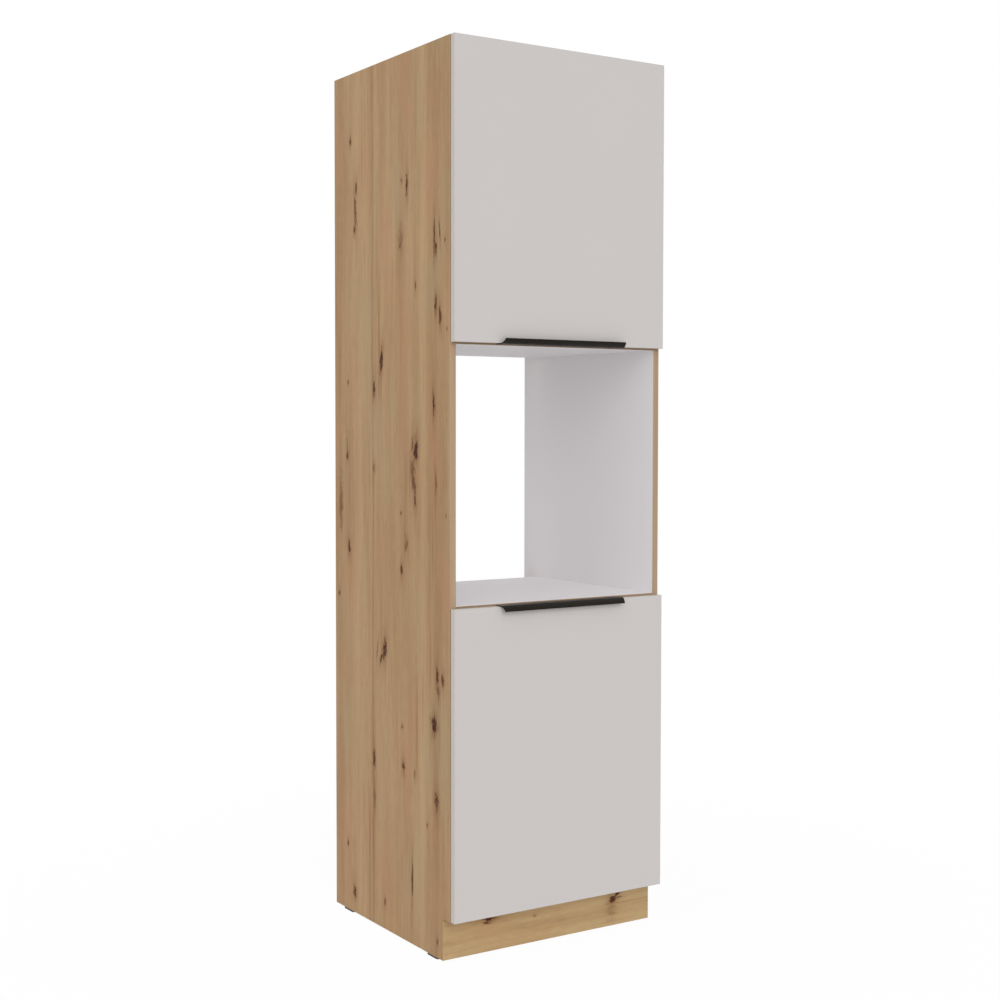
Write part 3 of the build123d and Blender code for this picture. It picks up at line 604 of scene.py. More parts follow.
    def _fibres(self, tree: Tree, u: Wire, v: Wire) -> Wire:
        """Long thin dark fibres.

        A noise stretched along the grain is dark where it passes its middle value, and a second,
        slower noise hides most of these lines.

        Args:
            tree: The material's tree.
            u: The point across the grain.
            v: The point along the grain.

        Returns:
            From 0 to 1, where a fibre is.
        """
        line = tree.step(abs(self.RIDGE.at(tree, (u, v))), *self.RIDGE_SPAN)
        return line * tree.step(self.SHOWN.at(tree, (u, v)), *self.SHOWN_SPAN)

    def _knot_masks(self, tree: Tree, u: Wire, v: Wire) -> tuple[Wire, Wire, Value]:
        """Dark cores, brown halos and long flames of all the knots.

        The distance from a knot's middle is in half widths and half lengths of its core, and noise
        shifts the point first, so that the border frays in proportion to the knot.

        Args:
            tree: The material's tree.
            u: The point across the grain.
            v: The point along the grain.

        Returns:
            The cores, the halos and the flames, each from 0 to 1.
        """
        core: Value = 0.0
        halo: Value = 0.0
        flame: Value = 0.0
        spot = tree.vector(u, v)
        centred = tuple(-part / 2 for part in self.FRAYED)
        loose = self.FRAY.read(tree, (u, v), out="Color")
        fray = tree.vector_math("MULTIPLY_ADD", loose, self.FRAYED, centred)
        torn = self.TORN.at(tree, (u, v))
        for knot in self.knots:
            sockets = {
                "Vector": spot,
                "Location": (knot.across * MILLIMETRE, knot.along * MILLIMETRE, 0.0),
                "Rotation": (0.0, 0.0, -math.radians(knot.lean)),
                "Scale": (knot.width / 2 * MILLIMETRE, knot.length / 2 * MILLIMETRE, 1.0),
            }
            placed = tree.node("ShaderNodeMapping", {"vector_type": "TEXTURE"}, sockets)
            frayed = tree.vector_math("ADD", placed, fray)
            away = tree.vector_math("LENGTH", frayed, out="Value") + torn * self.tear
            drawn = tree.vector_math("MULTIPLY", frayed, self.DRAWN)
            far = tree.vector_math("LENGTH", drawn, out="Value")
            faded = self.FAINT_HALO + (1.0 - self.FAINT_HALO) * knot.dark
            core = tree.step(away, *self.CORE_SPAN) * knot.dark | core
            halo = tree.step(away, *self.HALO_SPAN) * faded | halo
            flame = tree.step(far, *self.FLAME_SPAN) * knot.dark | flame
        return core * (1.0 + torn * self.CORE_TORN), halo * (1.0 + torn * self.HALO_TORN), flame


@dataclass(frozen=True)
class OakBand(TwoTone):
    """Straight-grained oak print on an edge band.

    Attributes:
        broad: The slow bands.
        fine: The single fibres.
    """

    specular: float = 0.3
    rough: float = 0.48
    pale: Colour = tint(184, 157, 127)
    deep: Colour = tint(158, 131, 103)
    broad: Noise = Noise((160.0, 1.3), 2.0, 3.0, tone=0.9)
    fine: Noise = Noise((900.0, 9.0), 4.0, 3.0, tone=0.6, rough=0.2, relief=0.020)

    def layer(self, tree: Tree, across: Wire, along: Wire) -> Layer:
        """The look at a point given across and along the grain, in metres."""
        tone, rough, height = self.sums(tree, (across, along), self.broad, self.fine)
        return Layer(self.between(tree, tone), rough, height)


@dataclass(frozen=True)
class Timber(TwoTone):
    """Turned beech of the dowels.

    Attributes:
        grain: The fibres, along X.
    """

    rough: float = 0.6
    pale: Colour = tint(222, 186, 142)
    deep: Colour = tint(188, 146, 102)
    grain: Noise = Noise((30.0, 700.0, 700.0), detail=3.0, tone=1.0, rough=0.2, relief=0.05)

    def layer(self, tree: Tree, across: Wire, along: Wire) -> Layer:
        """The look at a point, whichever way the board's own grain runs."""
        tone, rough, height = self.sums(tree, tree.axes, self.grain)
        return Layer(self.between(tree, tone), rough, height)


@dataclass(frozen=True)
class Chipboard(TwoTone):
    """Raw cut edge of chipboard: coarse chips in the middle of the board.

    Attributes:
        gap: Colour of the pores between the chips.
        chips: How many chips lie in a metre.
        chip_tone: How much the chips differ in tone.
        shake: The noise that bends the chips' borders.
        shift: How far it bends them, in metres.
        grit: The grain of the chips.
        pit: How wide the pores are, in chips.
        pit_share: How much of their colour the pores take on.
        pit_depth: Depth of the pores in millimetres.
    """

    rough: float = 0.85
    pale: Colour = tint(206, 172, 128)
    deep: Colour = tint(158, 118, 78)
    gap: Colour = tint(92, 66, 44)
    chips: float = 420.0
    chip_tone: float = 0.8
    shake: Noise = Noise((300.0,) * 3)
    shift: float = 0.002
    grit: Noise = Noise((1800.0,) * 3, tone=0.6, rough=0.1, relief=0.12)
    pit: float = 0.09
    pit_share: float = 0.55
    pit_depth: float = 0.15

    def layer(self, tree: Tree, across: Wire, along: Wire) -> Layer:
        """The look at a point; the chips lie in all directions.

        Each cell of a pattern of cells has its own tone, and the pores lie along their borders.

        Args:
            tree: The material's tree.
            across: The point across the grain, which plays no part.
            along: The point along the grain, which plays no part.

        Returns:
            Colour, roughness and relief.
        """
        shaken = self.shake.read(tree, tree.axes, out="Color")
        spot = tree.vector_math("MULTIPLY_ADD", shaken, (self.shift,) * 3, tree.vector(*tree.axes))
        cell, border = (
            tree.node(
                "ShaderNodeTexVoronoi",
                {"feature": feature},
                {"Vector": spot, "Scale": self.chips},
                out,
            )
            for feature, out in (("F1", "Color"), ("DISTANCE_TO_EDGE", "Distance"))
        )
        tone, rough, height = self.sums(tree, tree.axes, self.grit)
        # The Math node takes the grey of the cell's colour, which is the chip's own tone.
        colour = self.between(tree, tone + (cell - 0.5) * self.chip_tone)
        pit = tree.step(border, self.pit, 0.0)
        colour = tree.mix(pit * self.pit_share, colour, self.gap)
        return Layer(colour, rough, height - pit * self.pit_depth)


@dataclass(frozen=True)
class Hardboard(TwoTone):
    """Brown pressed fibre with a sieve pattern.

    Attributes:
        cloud: Slow change of tone.
        fibre: The fibres.
        mesh: Pitch of the sieve in metres.
        sieve_tone: What the sieve adds to the tone.
        sieve_depth: What it adds to the height, in millimetres.
    """

    rough: float = 0.74
    pale: Colour = tint(160, 126, 92)
    deep: Colour = tint(122, 92, 64)
    cloud: Noise = Noise((5.0,) * 3, detail=3.0, tone=0.3)
    fibre: Noise = Noise((420.0,) * 3, detail=4.0, tone=1.1, rough=0.2, relief=0.04)
    mesh: float = 0.0014
    sieve_tone: float = 0.12
    sieve_depth: float = 0.05

    def layer(self, tree: Tree, across: Wire, along: Wire) -> Layer:
        """The look at a point; the sieve lies in the X and Z plane.

        The sieve is the product of two sines, one along X and one along Z.

        Args:
            tree: The material's tree.
            across: The point across the grain, which plays no part.
            along: The point along the grain, which plays no part.

        Returns:
            Colour, roughness and relief.
        """
        x, _, z = tree.axes
        pitch = 2.0 * math.pi / self.mesh
        sieve = (x * pitch).sine() * (z * pitch).sine()
        tone, rough, height = self.sums(tree, tree.axes, self.cloud, self.fibre)
        colour = self.between(tree, tone + sieve * self.sieve_tone)
        return Layer(colour, rough, height + sieve * self.sieve_depth)


@dataclass(frozen=True)
class Coat(Finish):
    """One colour under soft clouds and a fine texture.

    Attributes:
        colour: Base colour.
        dark: Share of the light that the darkest spots give back.
        cloud: The clouds.
        grit: The texture.
    """

    colour: Colour = PURE_WHITE
    dark: float = 1.0
    cloud: Noise = Noise((1.0,) * 3)
    grit: Noise = Noise((1.0,) * 3)

    def layer(self, tree: Tree, across: Wire, along: Wire) -> Layer:
        """The look at a point; the texture is the same whichever way the grain runs.

        Args:
            tree: The material's tree.
            across: The point across the grain, which plays no part.
            along: The point along the grain, which plays no part.

        Returns:
            Colour, roughness and relief.
        """
        tone, rough, height = self.sums(tree, tree.axes, self.cloud, self.grit)
        shade = tree.mix(tone, (self.dark,) * 3, PURE_WHITE)
        return Layer(tree.mix(1.0, self.colour, shade, "MULTIPLY"), rough, height)


def pearl(height: float) -> Noise:
    """The faint pearl texture of a laminate, with its height in millimetres."""
    return Noise((1400.0,) * 3, tone=0.3, rough=0.05, relief=height)


def peel(height: float, bumps: float) -> Noise:
    """An orange-peel texture, with its height in millimetres and its bumps in a metre."""
    return Noise((bumps,) * 3, tone=0.5, rough=0.10, relief=height)


@dataclass(frozen=True)
class Laminate(Coat):
    """Plain laminate or matte foil with a faint pearl texture."""

    rough: float = 0.46
    dark: float = 0.975
    cloud: Noise = Noise((6.0,) * 3, detail=3.0, tone=0.8, rough=0.06)
    grit: Noise = pearl(0.012)


@dataclass(frozen=True)
class Metal(Coat):
    """Plated metal with a cloudy sheen and fine level scratches."""

    metallic: float = 1.0
    rough: float = 0.28
    colour: Colour = (0.56, 0.55, 0.53)
    dark: float = 0.86
    cloud: Noise = Noise((160.0,) * 3, detail=3.0, tone=1.0, rough=0.16)
    grit: Noise = Noise((400.0, 400.0, 4000.0), tone=0.5, rough=0.14, relief=0.004)


@dataclass(frozen=True)
class Moulded(Coat):
    """Powder coat or moulded plastic with a fine orange-peel texture."""

    rough: float = 0.42
    dark: float = 0.82
    cloud: Noise = Noise((40.0,) * 3, detail=3.0, tone=0.8, rough=0.10)
    grit: Noise = peel(0.012, 2200.0)


@dataclass(frozen=True)
class Board:
    """A board with a core and a finish on some of its faces.

    Attributes:
        node: The CAD node that it dresses.
        core: Finish of its cut edges and holes.
        skins: Finish of each covered face.
        grain: The way its grain runs.
        skin: Thickness of a skin in metres.
    """

    node: str
    core: Finish
    skins: Mapping[Face, Finish]
    grain: Grain = Grain.ALONG_Z
    skin: float = 0.0004

    def dress(self) -> str:
        """Gives the node its material.

        Returns:
            The node's name.
        """
        material = bpy.data.materials.new(self.node)
        tree = Tree(material)
        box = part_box(self.node)
        layer = self.core.layer(tree, tree.axes[0], tree.axes[2])
        for finish in dict.fromkeys(self.skins.values()):
            faces = [face for face, skin in self.skins.items() if skin == finish]
            mask = reduce(or_, [face.mask(tree, box, self.skin) for face in faces])
            layer = layer.covered(tree, mask, finish.layer(tree, *self._sheet(tree, faces[0])))
        next(iter(self.skins.values())).close(tree, layer)
        paint(self.node, material)
        return self.node

    def _sheet(self, tree: Tree, face: Face) -> tuple[Wire, Wire]:
        """Finds the point on a face.

        Args:
            tree: The material's tree.
            face: The face.

        Returns:
            The point across and along the grain, in metres.
        """
        along = self.grain.value
        across = next(axis for axis in (1, 0, 2) if axis not in (along, face.value[0]))
        return tree.axes[across], tree.axes[along]


def paint(node: str, material: bpy.types.Material) -> None:
    """Puts a material on a CAD node."""
    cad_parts[node].material_slots[0].material = material


def dress_nodes(
    finish: Finish, name: str, nodes: Sequence[str], grain: Grain = Grain.ALONG_Z
) -> list[str]:
    """Gives several nodes one material.

    Args:
        finish: The finish.
        name: The material's name.
        nodes: The nodes' names.
        grain: The way the grain runs.

    Returns:
        The nodes' names.
    """
    material = finish.material(name, grain)
    for node in nodes:
        paint(node, material)
    return list(nodes)


def new_piece(
    name: str,
    points: np.ndarray,
    faces: Sequence[Sequence[int]],
    material: bpy.types.Material,
    body: str,
    slot: str,
) -> bpy.types.Object:
    """Makes a piece of points and faces, closes its seams and lets it ride on a body.

    Args:
        name: The piece's name.
        points: Its points, one row each, in metres.
        faces: The points of each face.
        material: Its material.
        body: The body that it moves with.
        slot: Not used.

    Returns:
        The new object.
    """
    mesh = bpy.data.meshes.new(name)
    mesh.from_pydata(points.tolist(), [], faces)
    shape = bmesh.new()
    shape.from_mesh(mesh)
    bmesh.ops.remove_doubles(shape, verts=shape.verts, dist=MERGE_DISTANCE)
    bmesh.ops.recalc_face_normals(shape, faces=shape.faces)
    shape.to_mesh(mesh)
    shape.free()
    mesh.polygons.foreach_set("use_smooth", np.ones(len(mesh.polygons), dtype=bool))
    mesh.set_sharp_from_angle(angle=SHARP_ANGLE)
    mesh.materials.append(material)
    piece = bpy.data.objects.new(name, mesh)
    bpy.context.scene.collection.objects.link(piece)
    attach(piece, body)
    return piece


def ring_quads(rings: int, count: int) -> np.ndarray:
    """Faces between closed rings of points, ring after ring.

    Args:
        rings: How many rings there are.
        count: How many points a ring has.

    Returns:
        One row of four point numbers for each face.
    """
    ring, spoke = np.meshgrid(np.arange(rings - 1), np.arange(count), indexing="ij")
    after = (spoke + 1) % count
    corners = [ring * count + spoke, ring * count + after]
    corners += [(ring + 1) * count + after, (ring + 1) * count + spoke]
    return np.stack(corners, axis=-1).reshape(-1, 4)


WHITE = Laminate(specular=0.12, colour=tint(237, 234, 235), rough=0.6)
GREY = Laminate(colour=tint(201, 196, 194), rough=0.44, grit=pearl(0.010))
WHITE_BAND = Laminate(colour=tint(224, 224, 222), rough=0.40, grit=pearl(0.006))
GREY_BAND = Laminate(colour=tint(198, 191, 184), rough=0.36, grit=pearl(0.006))
CORE = Chipboard()
BLACK_COAT = Moulded(specular=0.12, colour=tint(28, 24, 17))
BLACK_PLASTIC = Moulded(colour=tint(30, 30, 31), rough=0.5, grit=peel(0.02, 1500.0))
WHITE_PLASTIC = Moulded(colour=tint(232, 232, 228), rough=0.38, grit=peel(0.01, 1200.0))
RUBBER = Moulded(colour=tint(205, 206, 204), rough=0.30, grit=peel(0.004, 900.0))
NICKEL = Metal()
ZINC = Metal(colour=(0.60, 0.60, 0.58), rough=0.36)
CAST_ZINC = Metal(colour=(0.44, 0.44, 0.44), rough=0.48)

# Slow tone across the sides from front to rear, as (share of the depth, tone) stops.
SIDE_STRIPES = (
    (0.00, 0.50), (0.06, 0.42), (0.115, 0.30), (0.16, 0.44), (0.22, 0.62), (0.28, 0.50),
    (0.40, 0.44), (0.48, 0.52), (0.60, 0.50), (0.634, 0.50), (0.645, 0.06), (0.654, 0.46),
    (0.68, 0.52), (0.75, 0.64), (0.86, 0.52), (0.93, 0.36), (1.00, 0.46),
)
# Knots and cracks of the sides, from the front edge and the foot of the left one.
SIDE_KNOTS = (
    Knot(154, 1176, 22, 54, 1.0, -8), Knot(170, 1190, 9, 56, 0.6, -4),
    Knot(170, 1130, 22, 54, 0.6), Knot(163, 1095, 19, 50, 0.65, 6),
    Knot(158, 1055, 12, 40, 0.7), Knot(69, 1666, 8, 84, 0.75), Knot(45, 1675, 7, 52, 0.6, 6),
    Knot(62, 1640, 11, 34, 0.9), Knot(21, 1652, 6, 12, 0.6), Knot(320, 1390, 16, 58, 1.0, -8),
    Knot(358, 1325, 13, 42, 0.85), Knot(72, 1280, 11, 54, 0.9, 2), Knot(62, 1511, 12, 36, 0.9),
    Knot(43, 1482, 11, 40, 0.9, 5), Knot(13, 1452, 5, 8, 0.6), Knot(70, 540, 27, 40, 1.0),
    Knot(306, 688, 20, 48, 1.0, -8), Knot(324, 664, 11, 28, 0.9, -24),
    Knot(342, 682, 6, 46, 0.5, -10), Knot(57, 658, 12, 38, 0.9, 4),
    Knot(32, 650, 12, 26, 0.85, 6), Knot(52, 620, 15, 32, 0.5), Knot(449, 1822, 11, 34, 0.75),
    Knot(454, 1767, 14, 92, 0.6, 4), Knot(457, 1722, 11, 26, 0.65),
    Knot(534, 1040, 20, 110, 0.5), Knot(498, 1158, 12, 22, 0.8), Knot(500, 1185, 5, 46, 0.4),
    Knot(359, 1130, 12, 26, 0.5), Knot(490, 925, 14, 32, 0.9, 6), Knot(199, 951, 17, 32, 0.5),
    Knot(222, 890, 12, 24, 0.95), Knot(224, 1025, 7, 10, 0.7), Knot(360, 411, 13, 42, 0.85),
    Knot(358, 316, 11, 62, 0.45), Knot(214, 417, 14, 32, 0.85), Knot(160, 407, 7, 22, 0.55),
    Knot(59, 364, 19, 42, 0.85, 5), Knot(103, 300, 7, 10, 0.6), Knot(500, 171, 9, 16, 0.7),
    Knot(172, 153, 7, 86, 0.9), Knot(463, 52, 16, 34, 0.9, 5), Knot(306, 66, 9, 20, 0.65),
    Knot(56, 38, 8, 14, 0.6), Knot(220, 513, 10, 10, 0.6), Knot(195, 1798, 11, 50, 0.85),
    Knot(221, 1812, 8, 14, 0.55), Knot(225, 1674, 20, 62, 0.35), Knot(229, 1660, 10, 22, 0.7),
    Knot(479, 1942, 9, 22, 0.8), Knot(155, 1560, 6, 20, 0.6), Knot(494, 1341, 6, 12, 0.7),
    Knot(62, 1103, 10, 44, 0.45), Knot(17, 1028, 6, 8, 0.5), Knot(544, 806, 9, 14, 0.8),
)
# Knots of the plinth, from its top edge and its left end.
PLINTH_KNOTS = (
    Knot(20, 127, 15, 34, 1.0), Knot(29, 117, 5, 18, 0.8, 12), Knot(32, 489, 20, 20, 0.9),
    Knot(24, 500, 9, 26, 0.85, -30), Knot(31, 506, 4, 22, 0.6), Knot(58, 484, 36, 26, 0.25),
    Knot(35, 256, 7, 9, 0.4),
)


@dataclass
class Carcass:
    """The oak and white boards, and what holds them together.

    Attributes:
        band: Thickness of an edge band in metres.
    """

    band: float = 0.001

    def dress(self) -> list[str]:
        """Gives each board and fitting its finish.

        Returns:
            The names of the dressed nodes.
        """
        boards = [*self._sides(), *self._panels(), *self._rails(), *self._backs()]
        names = [board.dress() for board in boards] + self._bands()
        names += dress_nodes(CAST_ZINC, "cam_zinc", ["cam_locks"])
        names += dress_nodes(ZINC, "fitting_zinc", ["cam_bolts", "shelf_pins"])
        names += dress_nodes(Timber(), "beech", ["dowels"])
        names += dress_nodes(WHITE_PLASTIC, "white_plastic", ["plinth_blocks"])
        return names + dress_nodes(BLACK_PLASTIC, "black_plastic", ["glides"])

    def _sides(self) -> list[Board]:
        """The two sides: the same sheet of decor, turned end for end on the right.

        Returns:
            The left and the right one.
        """
        low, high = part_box("left_side_panel")
        near = low.y - self.band
        sheet = {"width": high.y - near, "stripes": SIDE_STRIPES, "knots": SIDE_KNOTS}
        left = Oak(start=(near, low.z), **sheet)
        right = Oak(start=(near, high.z), turn=(1, -1), **sheet)
        return [
            Board("left_side_panel", CORE, {Face.LEFT: left, Face.RIGHT: WHITE}),
            Board("right_side_panel", CORE, {Face.RIGHT: right, Face.LEFT: WHITE}),
        ]

    def _panels(self) -> list[Board]:
        """The fixed panels and the shelves, white on both faces.

        Returns:
            The four panels and the two shelves.
        """
        names = ["bottom_panel", "niche_floor_panel", "niche_ceiling_panel", "top_panel"]
        names += [level.node("shelf") for level in Level]
        skins = {Face.TOP: WHITE, Face.BOTTOM: WHITE}
        return [Board(name, CORE, skins, Grain.ALONG_X) for name in names]

    def _rails(self) -> list[Board]:
        """The two rear rails, white on both faces."""
        skins = {Face.FRONT: WHITE, Face.REAR: WHITE}
        return [
            Board(f"{place}_rear_rail", CORE, skins, Grain.ALONG_X) for place in ("bottom", "top")
        ]

    def _backs(self) -> list[Board]:
        """The two thin backs, white in front and brown behind."""
        fibre = Hardboard()
        return [Board(level.node("back_panel"), fibre, {Face.FRONT: WHITE}) for level in Level]

    def _bands(self) -> list[str]:
        """Dresses the edge bands, each with its grain along its length; the panels' oak bands are a
        darker copy of the oak band, with painted shade.

        Returns:
            The names of the dressed nodes.
        """
        # Painted shade: the panels' front edges sit back in the doors' shadow, so their oak band is
        # a darker copy of the sides' band.
        painted_shade_band = OakBand(pale=tint(170, 143, 114), deep=tint(144, 118, 91))
        panels = "panel_edge_bands"
        names = dress_nodes(OakBand(), "oak_band", ["side_edge_bands"])
        names += dress_nodes(painted_shade_band, panels, [panels], Grain.ALONG_X)
        return names + dress_nodes(WHITE_BAND, "white_band", ["shelf_edge_bands"])


@dataclass
class Plinth:
    """The oak board in front of the cabinet's feet.

    Attributes:
        node: The CAD node.
        stripes: Slow tone from its top to its foot, as (share of the height, tone) stops.
    """

    node: str = "plinth"
    stripes: tuple[Span, ...] = ((0.0, 0.40), (0.3, 0.55), (0.6, 0.50), (1.0, 0.62))

    def dress(self) -> list[str]:
        """Gives the plinth its oak with level grain.

        Returns:
            The name of the dressed node.
        """
        low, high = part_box(self.node)
        oak = Oak(
            start=(high.z, low.x),
            turn=(-1, 1),
            width=high.z - low.z,
            stripes=self.stripes,
            knots=PLINTH_KNOTS,
            tear=1.5,
            pale=tint(200, 173, 130),
            deep=tint(158, 123, 84),
            rosy=tint(187, 147, 103),
            olive=tint(187, 160, 118),
        )
        end = OakBand(pale=tint(184, 152, 113), deep=tint(159, 124, 89))
        skins = {Face.FRONT: oak, Face.REAR: oak, Face.LEFT: end, Face.RIGHT: end}
        return [Board(self.node, CORE, skins, Grain.ALONG_X).dress()]


@dataclass
class DoorSet:
    """One grey door with its band, bumpers and hinges.

    Attributes:
        level: Which door it is.
        steel: The pressed parts of its hinges.
        pins: Their pins and screws.
    """

    level: Level
    steel: tuple[str, ...] = (
        "hinge_cups", "inner_links", "outer_links", "hinge_arms", "mounting_plates"
    )
    pins: tuple[str, ...] = ("cup_pins", "arm_pins", "plate_screws")

    def dress(self) -> list[str]:
        """Gives the door and its fittings their finishes.

        Returns:
            The names of the dressed nodes.
        """
        node = self.level.node
        names = [Board(node("door"), CORE, {Face.FRONT: GREY, Face.REAR: GREY}).dress()]
        names += dress_nodes(GREY_BAND, node("grey_band"), [node("door_edge_band")])
        names += dress_nodes(RUBBER, node("rubber"), [node("door_bumpers")])
        names += dress_nodes(NICKEL, node("nickel"), [node(name) for name in self.steel])
        return names + dress_nodes(ZINC, node("zinc"), [node(name) for name in self.pins])


@dataclass
class EdgeHandle:
    """A black bar on a door's edge that curls back over its face, as a profile carried along X.

    Attributes:
        level: Which door it is on.
        thickness: Of the bar, in metres.
        turn: From the plate to the lip's tip, in degrees.
        chamfer: Of the bar's ends, in metres.
        flare: How much further the plate goes than the lip's tip at each end, in metres.
        held_back: Share of the flare by which the lip's tip stays inside the solid handle's end.
        steps: Points in the bend.
        tip_steps: Points round the lip's tip.
    """

    level: Level
    thickness: float = 0.002
    turn: float = 67.0
    chamfer: float = 0.0003
    flare: float = 0.006
    held_back: float = 0.2
    steps: int = 28
    tip_steps: int = 9

    def profile(self, half: float) -> np.ndarray:
        """The bar's closed outline in the Y and Z plane.

        The centre line is the level plate and an arc that starts level at the door's face. The
        outline is that line moved by half a thickness to both sides, with a half circle round the
        lip's tip.

        Args:
            half: Half the thickness, in metres.

        Returns:
            One row of Y and Z for each point, in order round the outline.
        """
        low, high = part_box(self.level.node("handle"))
        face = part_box(self.level.node("door"))[0].y
        up = self.level.value[1]
        outer = high.z if up > 0 else low.z
        last = math.radians(self.turn)
        bend = (face - low.y - self.thickness / 2) / math.sin(last)
        hub = np.array([face, outer - up * (bend + self.thickness / 2)])
        turn = np.linspace(0.0, last, self.steps)
        facing = np.stack([-np.sin(turn), up * np.cos(turn)], axis=1)
        line = np.vstack([[[high.y, outer - up * self.thickness / 2]], hub + bend * facing])
        normal = np.vstack([facing[:1], facing])
        round_tip = last + np.linspace(0.0, math.pi, self.tip_steps + 2)[1:-1]
        cap = line[-1] + half * np.stack([-np.sin(round_tip), up * np.cos(round_tip)], axis=1)
        return np.vstack([line + half * normal, cap, (line - half * normal)[::-1]])

    def build(self) -> bpy.types.Object:
        """Carries the profile along X, with chamfered ends.

        Each end slants: a point lies further out the closer it is to the plate, in proportion to
        how far it stands behind the lip's tip.

        Returns:
            The handle.
        """
        low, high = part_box(self.level.node("handle"))
        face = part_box(self.level.node("door"))[0].y
        half = self.thickness / 2
        stations = [low.x, low.x + self.chamfer, high.x - self.chamfer, high.x]
        halves = [half - self.chamfer, half, half, half - self.chamfer]
        rings = []
        for station, wall, way in zip(stations, halves, (-1, -1, 1, 1)):
            outline = self.profile(wall)
            behind = np.clip((outline[:, 0] - low.y) / (face - low.y), 0.0, 1.0)
            x = station + way * self.flare * (behind - self.held_back)
            rings.append(np.column_stack([x, outline]))
        count = len(rings[0])
        last = count * (len(rings) - 1)
        ends = [list(range(count)), list(range(last, last + count))]
        faces = ring_quads(len(rings), count).tolist() + ends
        node = self.level.node
        material = BLACK_COAT.material(node("black_coat"))
        piece = new_piece(
            node("edge_handle"), np.vstack(rings), faces, material, node("door"), "black_metal"
        )
        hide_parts(node("handle"))
        return piece


@dataclass
class ScrewHeads:
    """Domed screw heads with a cross recess, in place of a node's plain screws.

    Attributes:
        name: The piece's name.
        node: The CAD node that they stand for.
        body: The body that they move with.
        slot: The record's material slot.
        finish: Their finish.
        seats: Middle of each head on the surface it lies on, one row each, in metres.
        facing: The way the heads look.
        radius: Of a head, in metres.
        height: Of a head, in metres.
        fall: Of the dome at its rim, in heights.
        arm: Half the width of the cross's arms, in radii.
        reach: Length of the arms, in radii.
        run_out: Length over which an arm ends, in radii.
        steep: How steep the arms' walls are.
        depth: Of the cross in its middle, in heights.
        rise: Share of the depth that is lost at the rim.
        rings: Rings of points on a head.
        spokes: Points on a ring.
    """

    name: str
    node: str
    body: str
    slot: str
    finish: Finish
    seats: np.ndarray
    facing: tuple[int, int, int]
    radius: float = 0.003
    height: float = 0.0015
    fall: float = 0.45
    arm: float = 0.16
    reach: float = 0.62
    run_out: float = 0.12
    steep: float = 2.5
    depth: float = 0.7
    rise: float = 0.7
    rings: int = 12
    spokes: int = 40

    def head(self) -> np.ndarray:
        """One head along Z: a shallow dome less a cross that deepens towards its middle.

        The dome falls with the fourth power of the distance from the middle. The cross is where
        the point is close to either axis, and its floor rises with the distance. Two more rings
        close the head at its foot.

        Returns:
            One row for each point, ring after ring.
        """
        share = np.linspace(0.0, 1.0, self.rings)[:, None]
        turn = np.linspace(0.0, 2.0 * math.pi, self.spokes, endpoint=False)[None, :]
        x = share * np.cos(turn)
        y = share * np.sin(turn)
        inside = np.clip(1.0 - np.minimum(np.abs(x), np.abs(y)) / self.arm, 0.0, 1.0)
        inside = inside * np.clip((self.reach - share) / self.run_out, 0.0, 1.0)
        cross = np.clip(inside * self.steep, 0.0, 1.0) * (1.0 - self.rise * share)
        z = 1.0 - self.fall * share**4 - self.depth * cross
        top = np.stack([x * self.radius, y * self.radius, z * self.height], axis=-1)
        foot = top[-1] * [1.0, 1.0, 0.0]
        middle = foot * 0.0
        return np.concatenate([top, foot[None], middle[None]]).reshape(-1, 3)

    def build(self) -> bpy.types.Object:
        """Puts a head on each seat.

        Returns:
            All the heads as one piece.
        """
        ahead = Vector(self.facing)
        turned = self.head() @ np.array(ahead.to_track_quat("Z", "Y").to_matrix()).T
        points = (self.seats[:, None, :] + turned[None]).reshape(-1, 3)
        quads = ring_quads(self.rings + 2, self.spokes)
        shifts = np.arange(len(self.seats)) * len(turned)
        faces = (quads[None] + shifts[:, None, None]).reshape(-1, 4)
        material = self.finish.material(self.name)
        piece = new_piece(self.name, points, faces.tolist(), material, self.body, self.slot)
        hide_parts(self.node)
        return piece


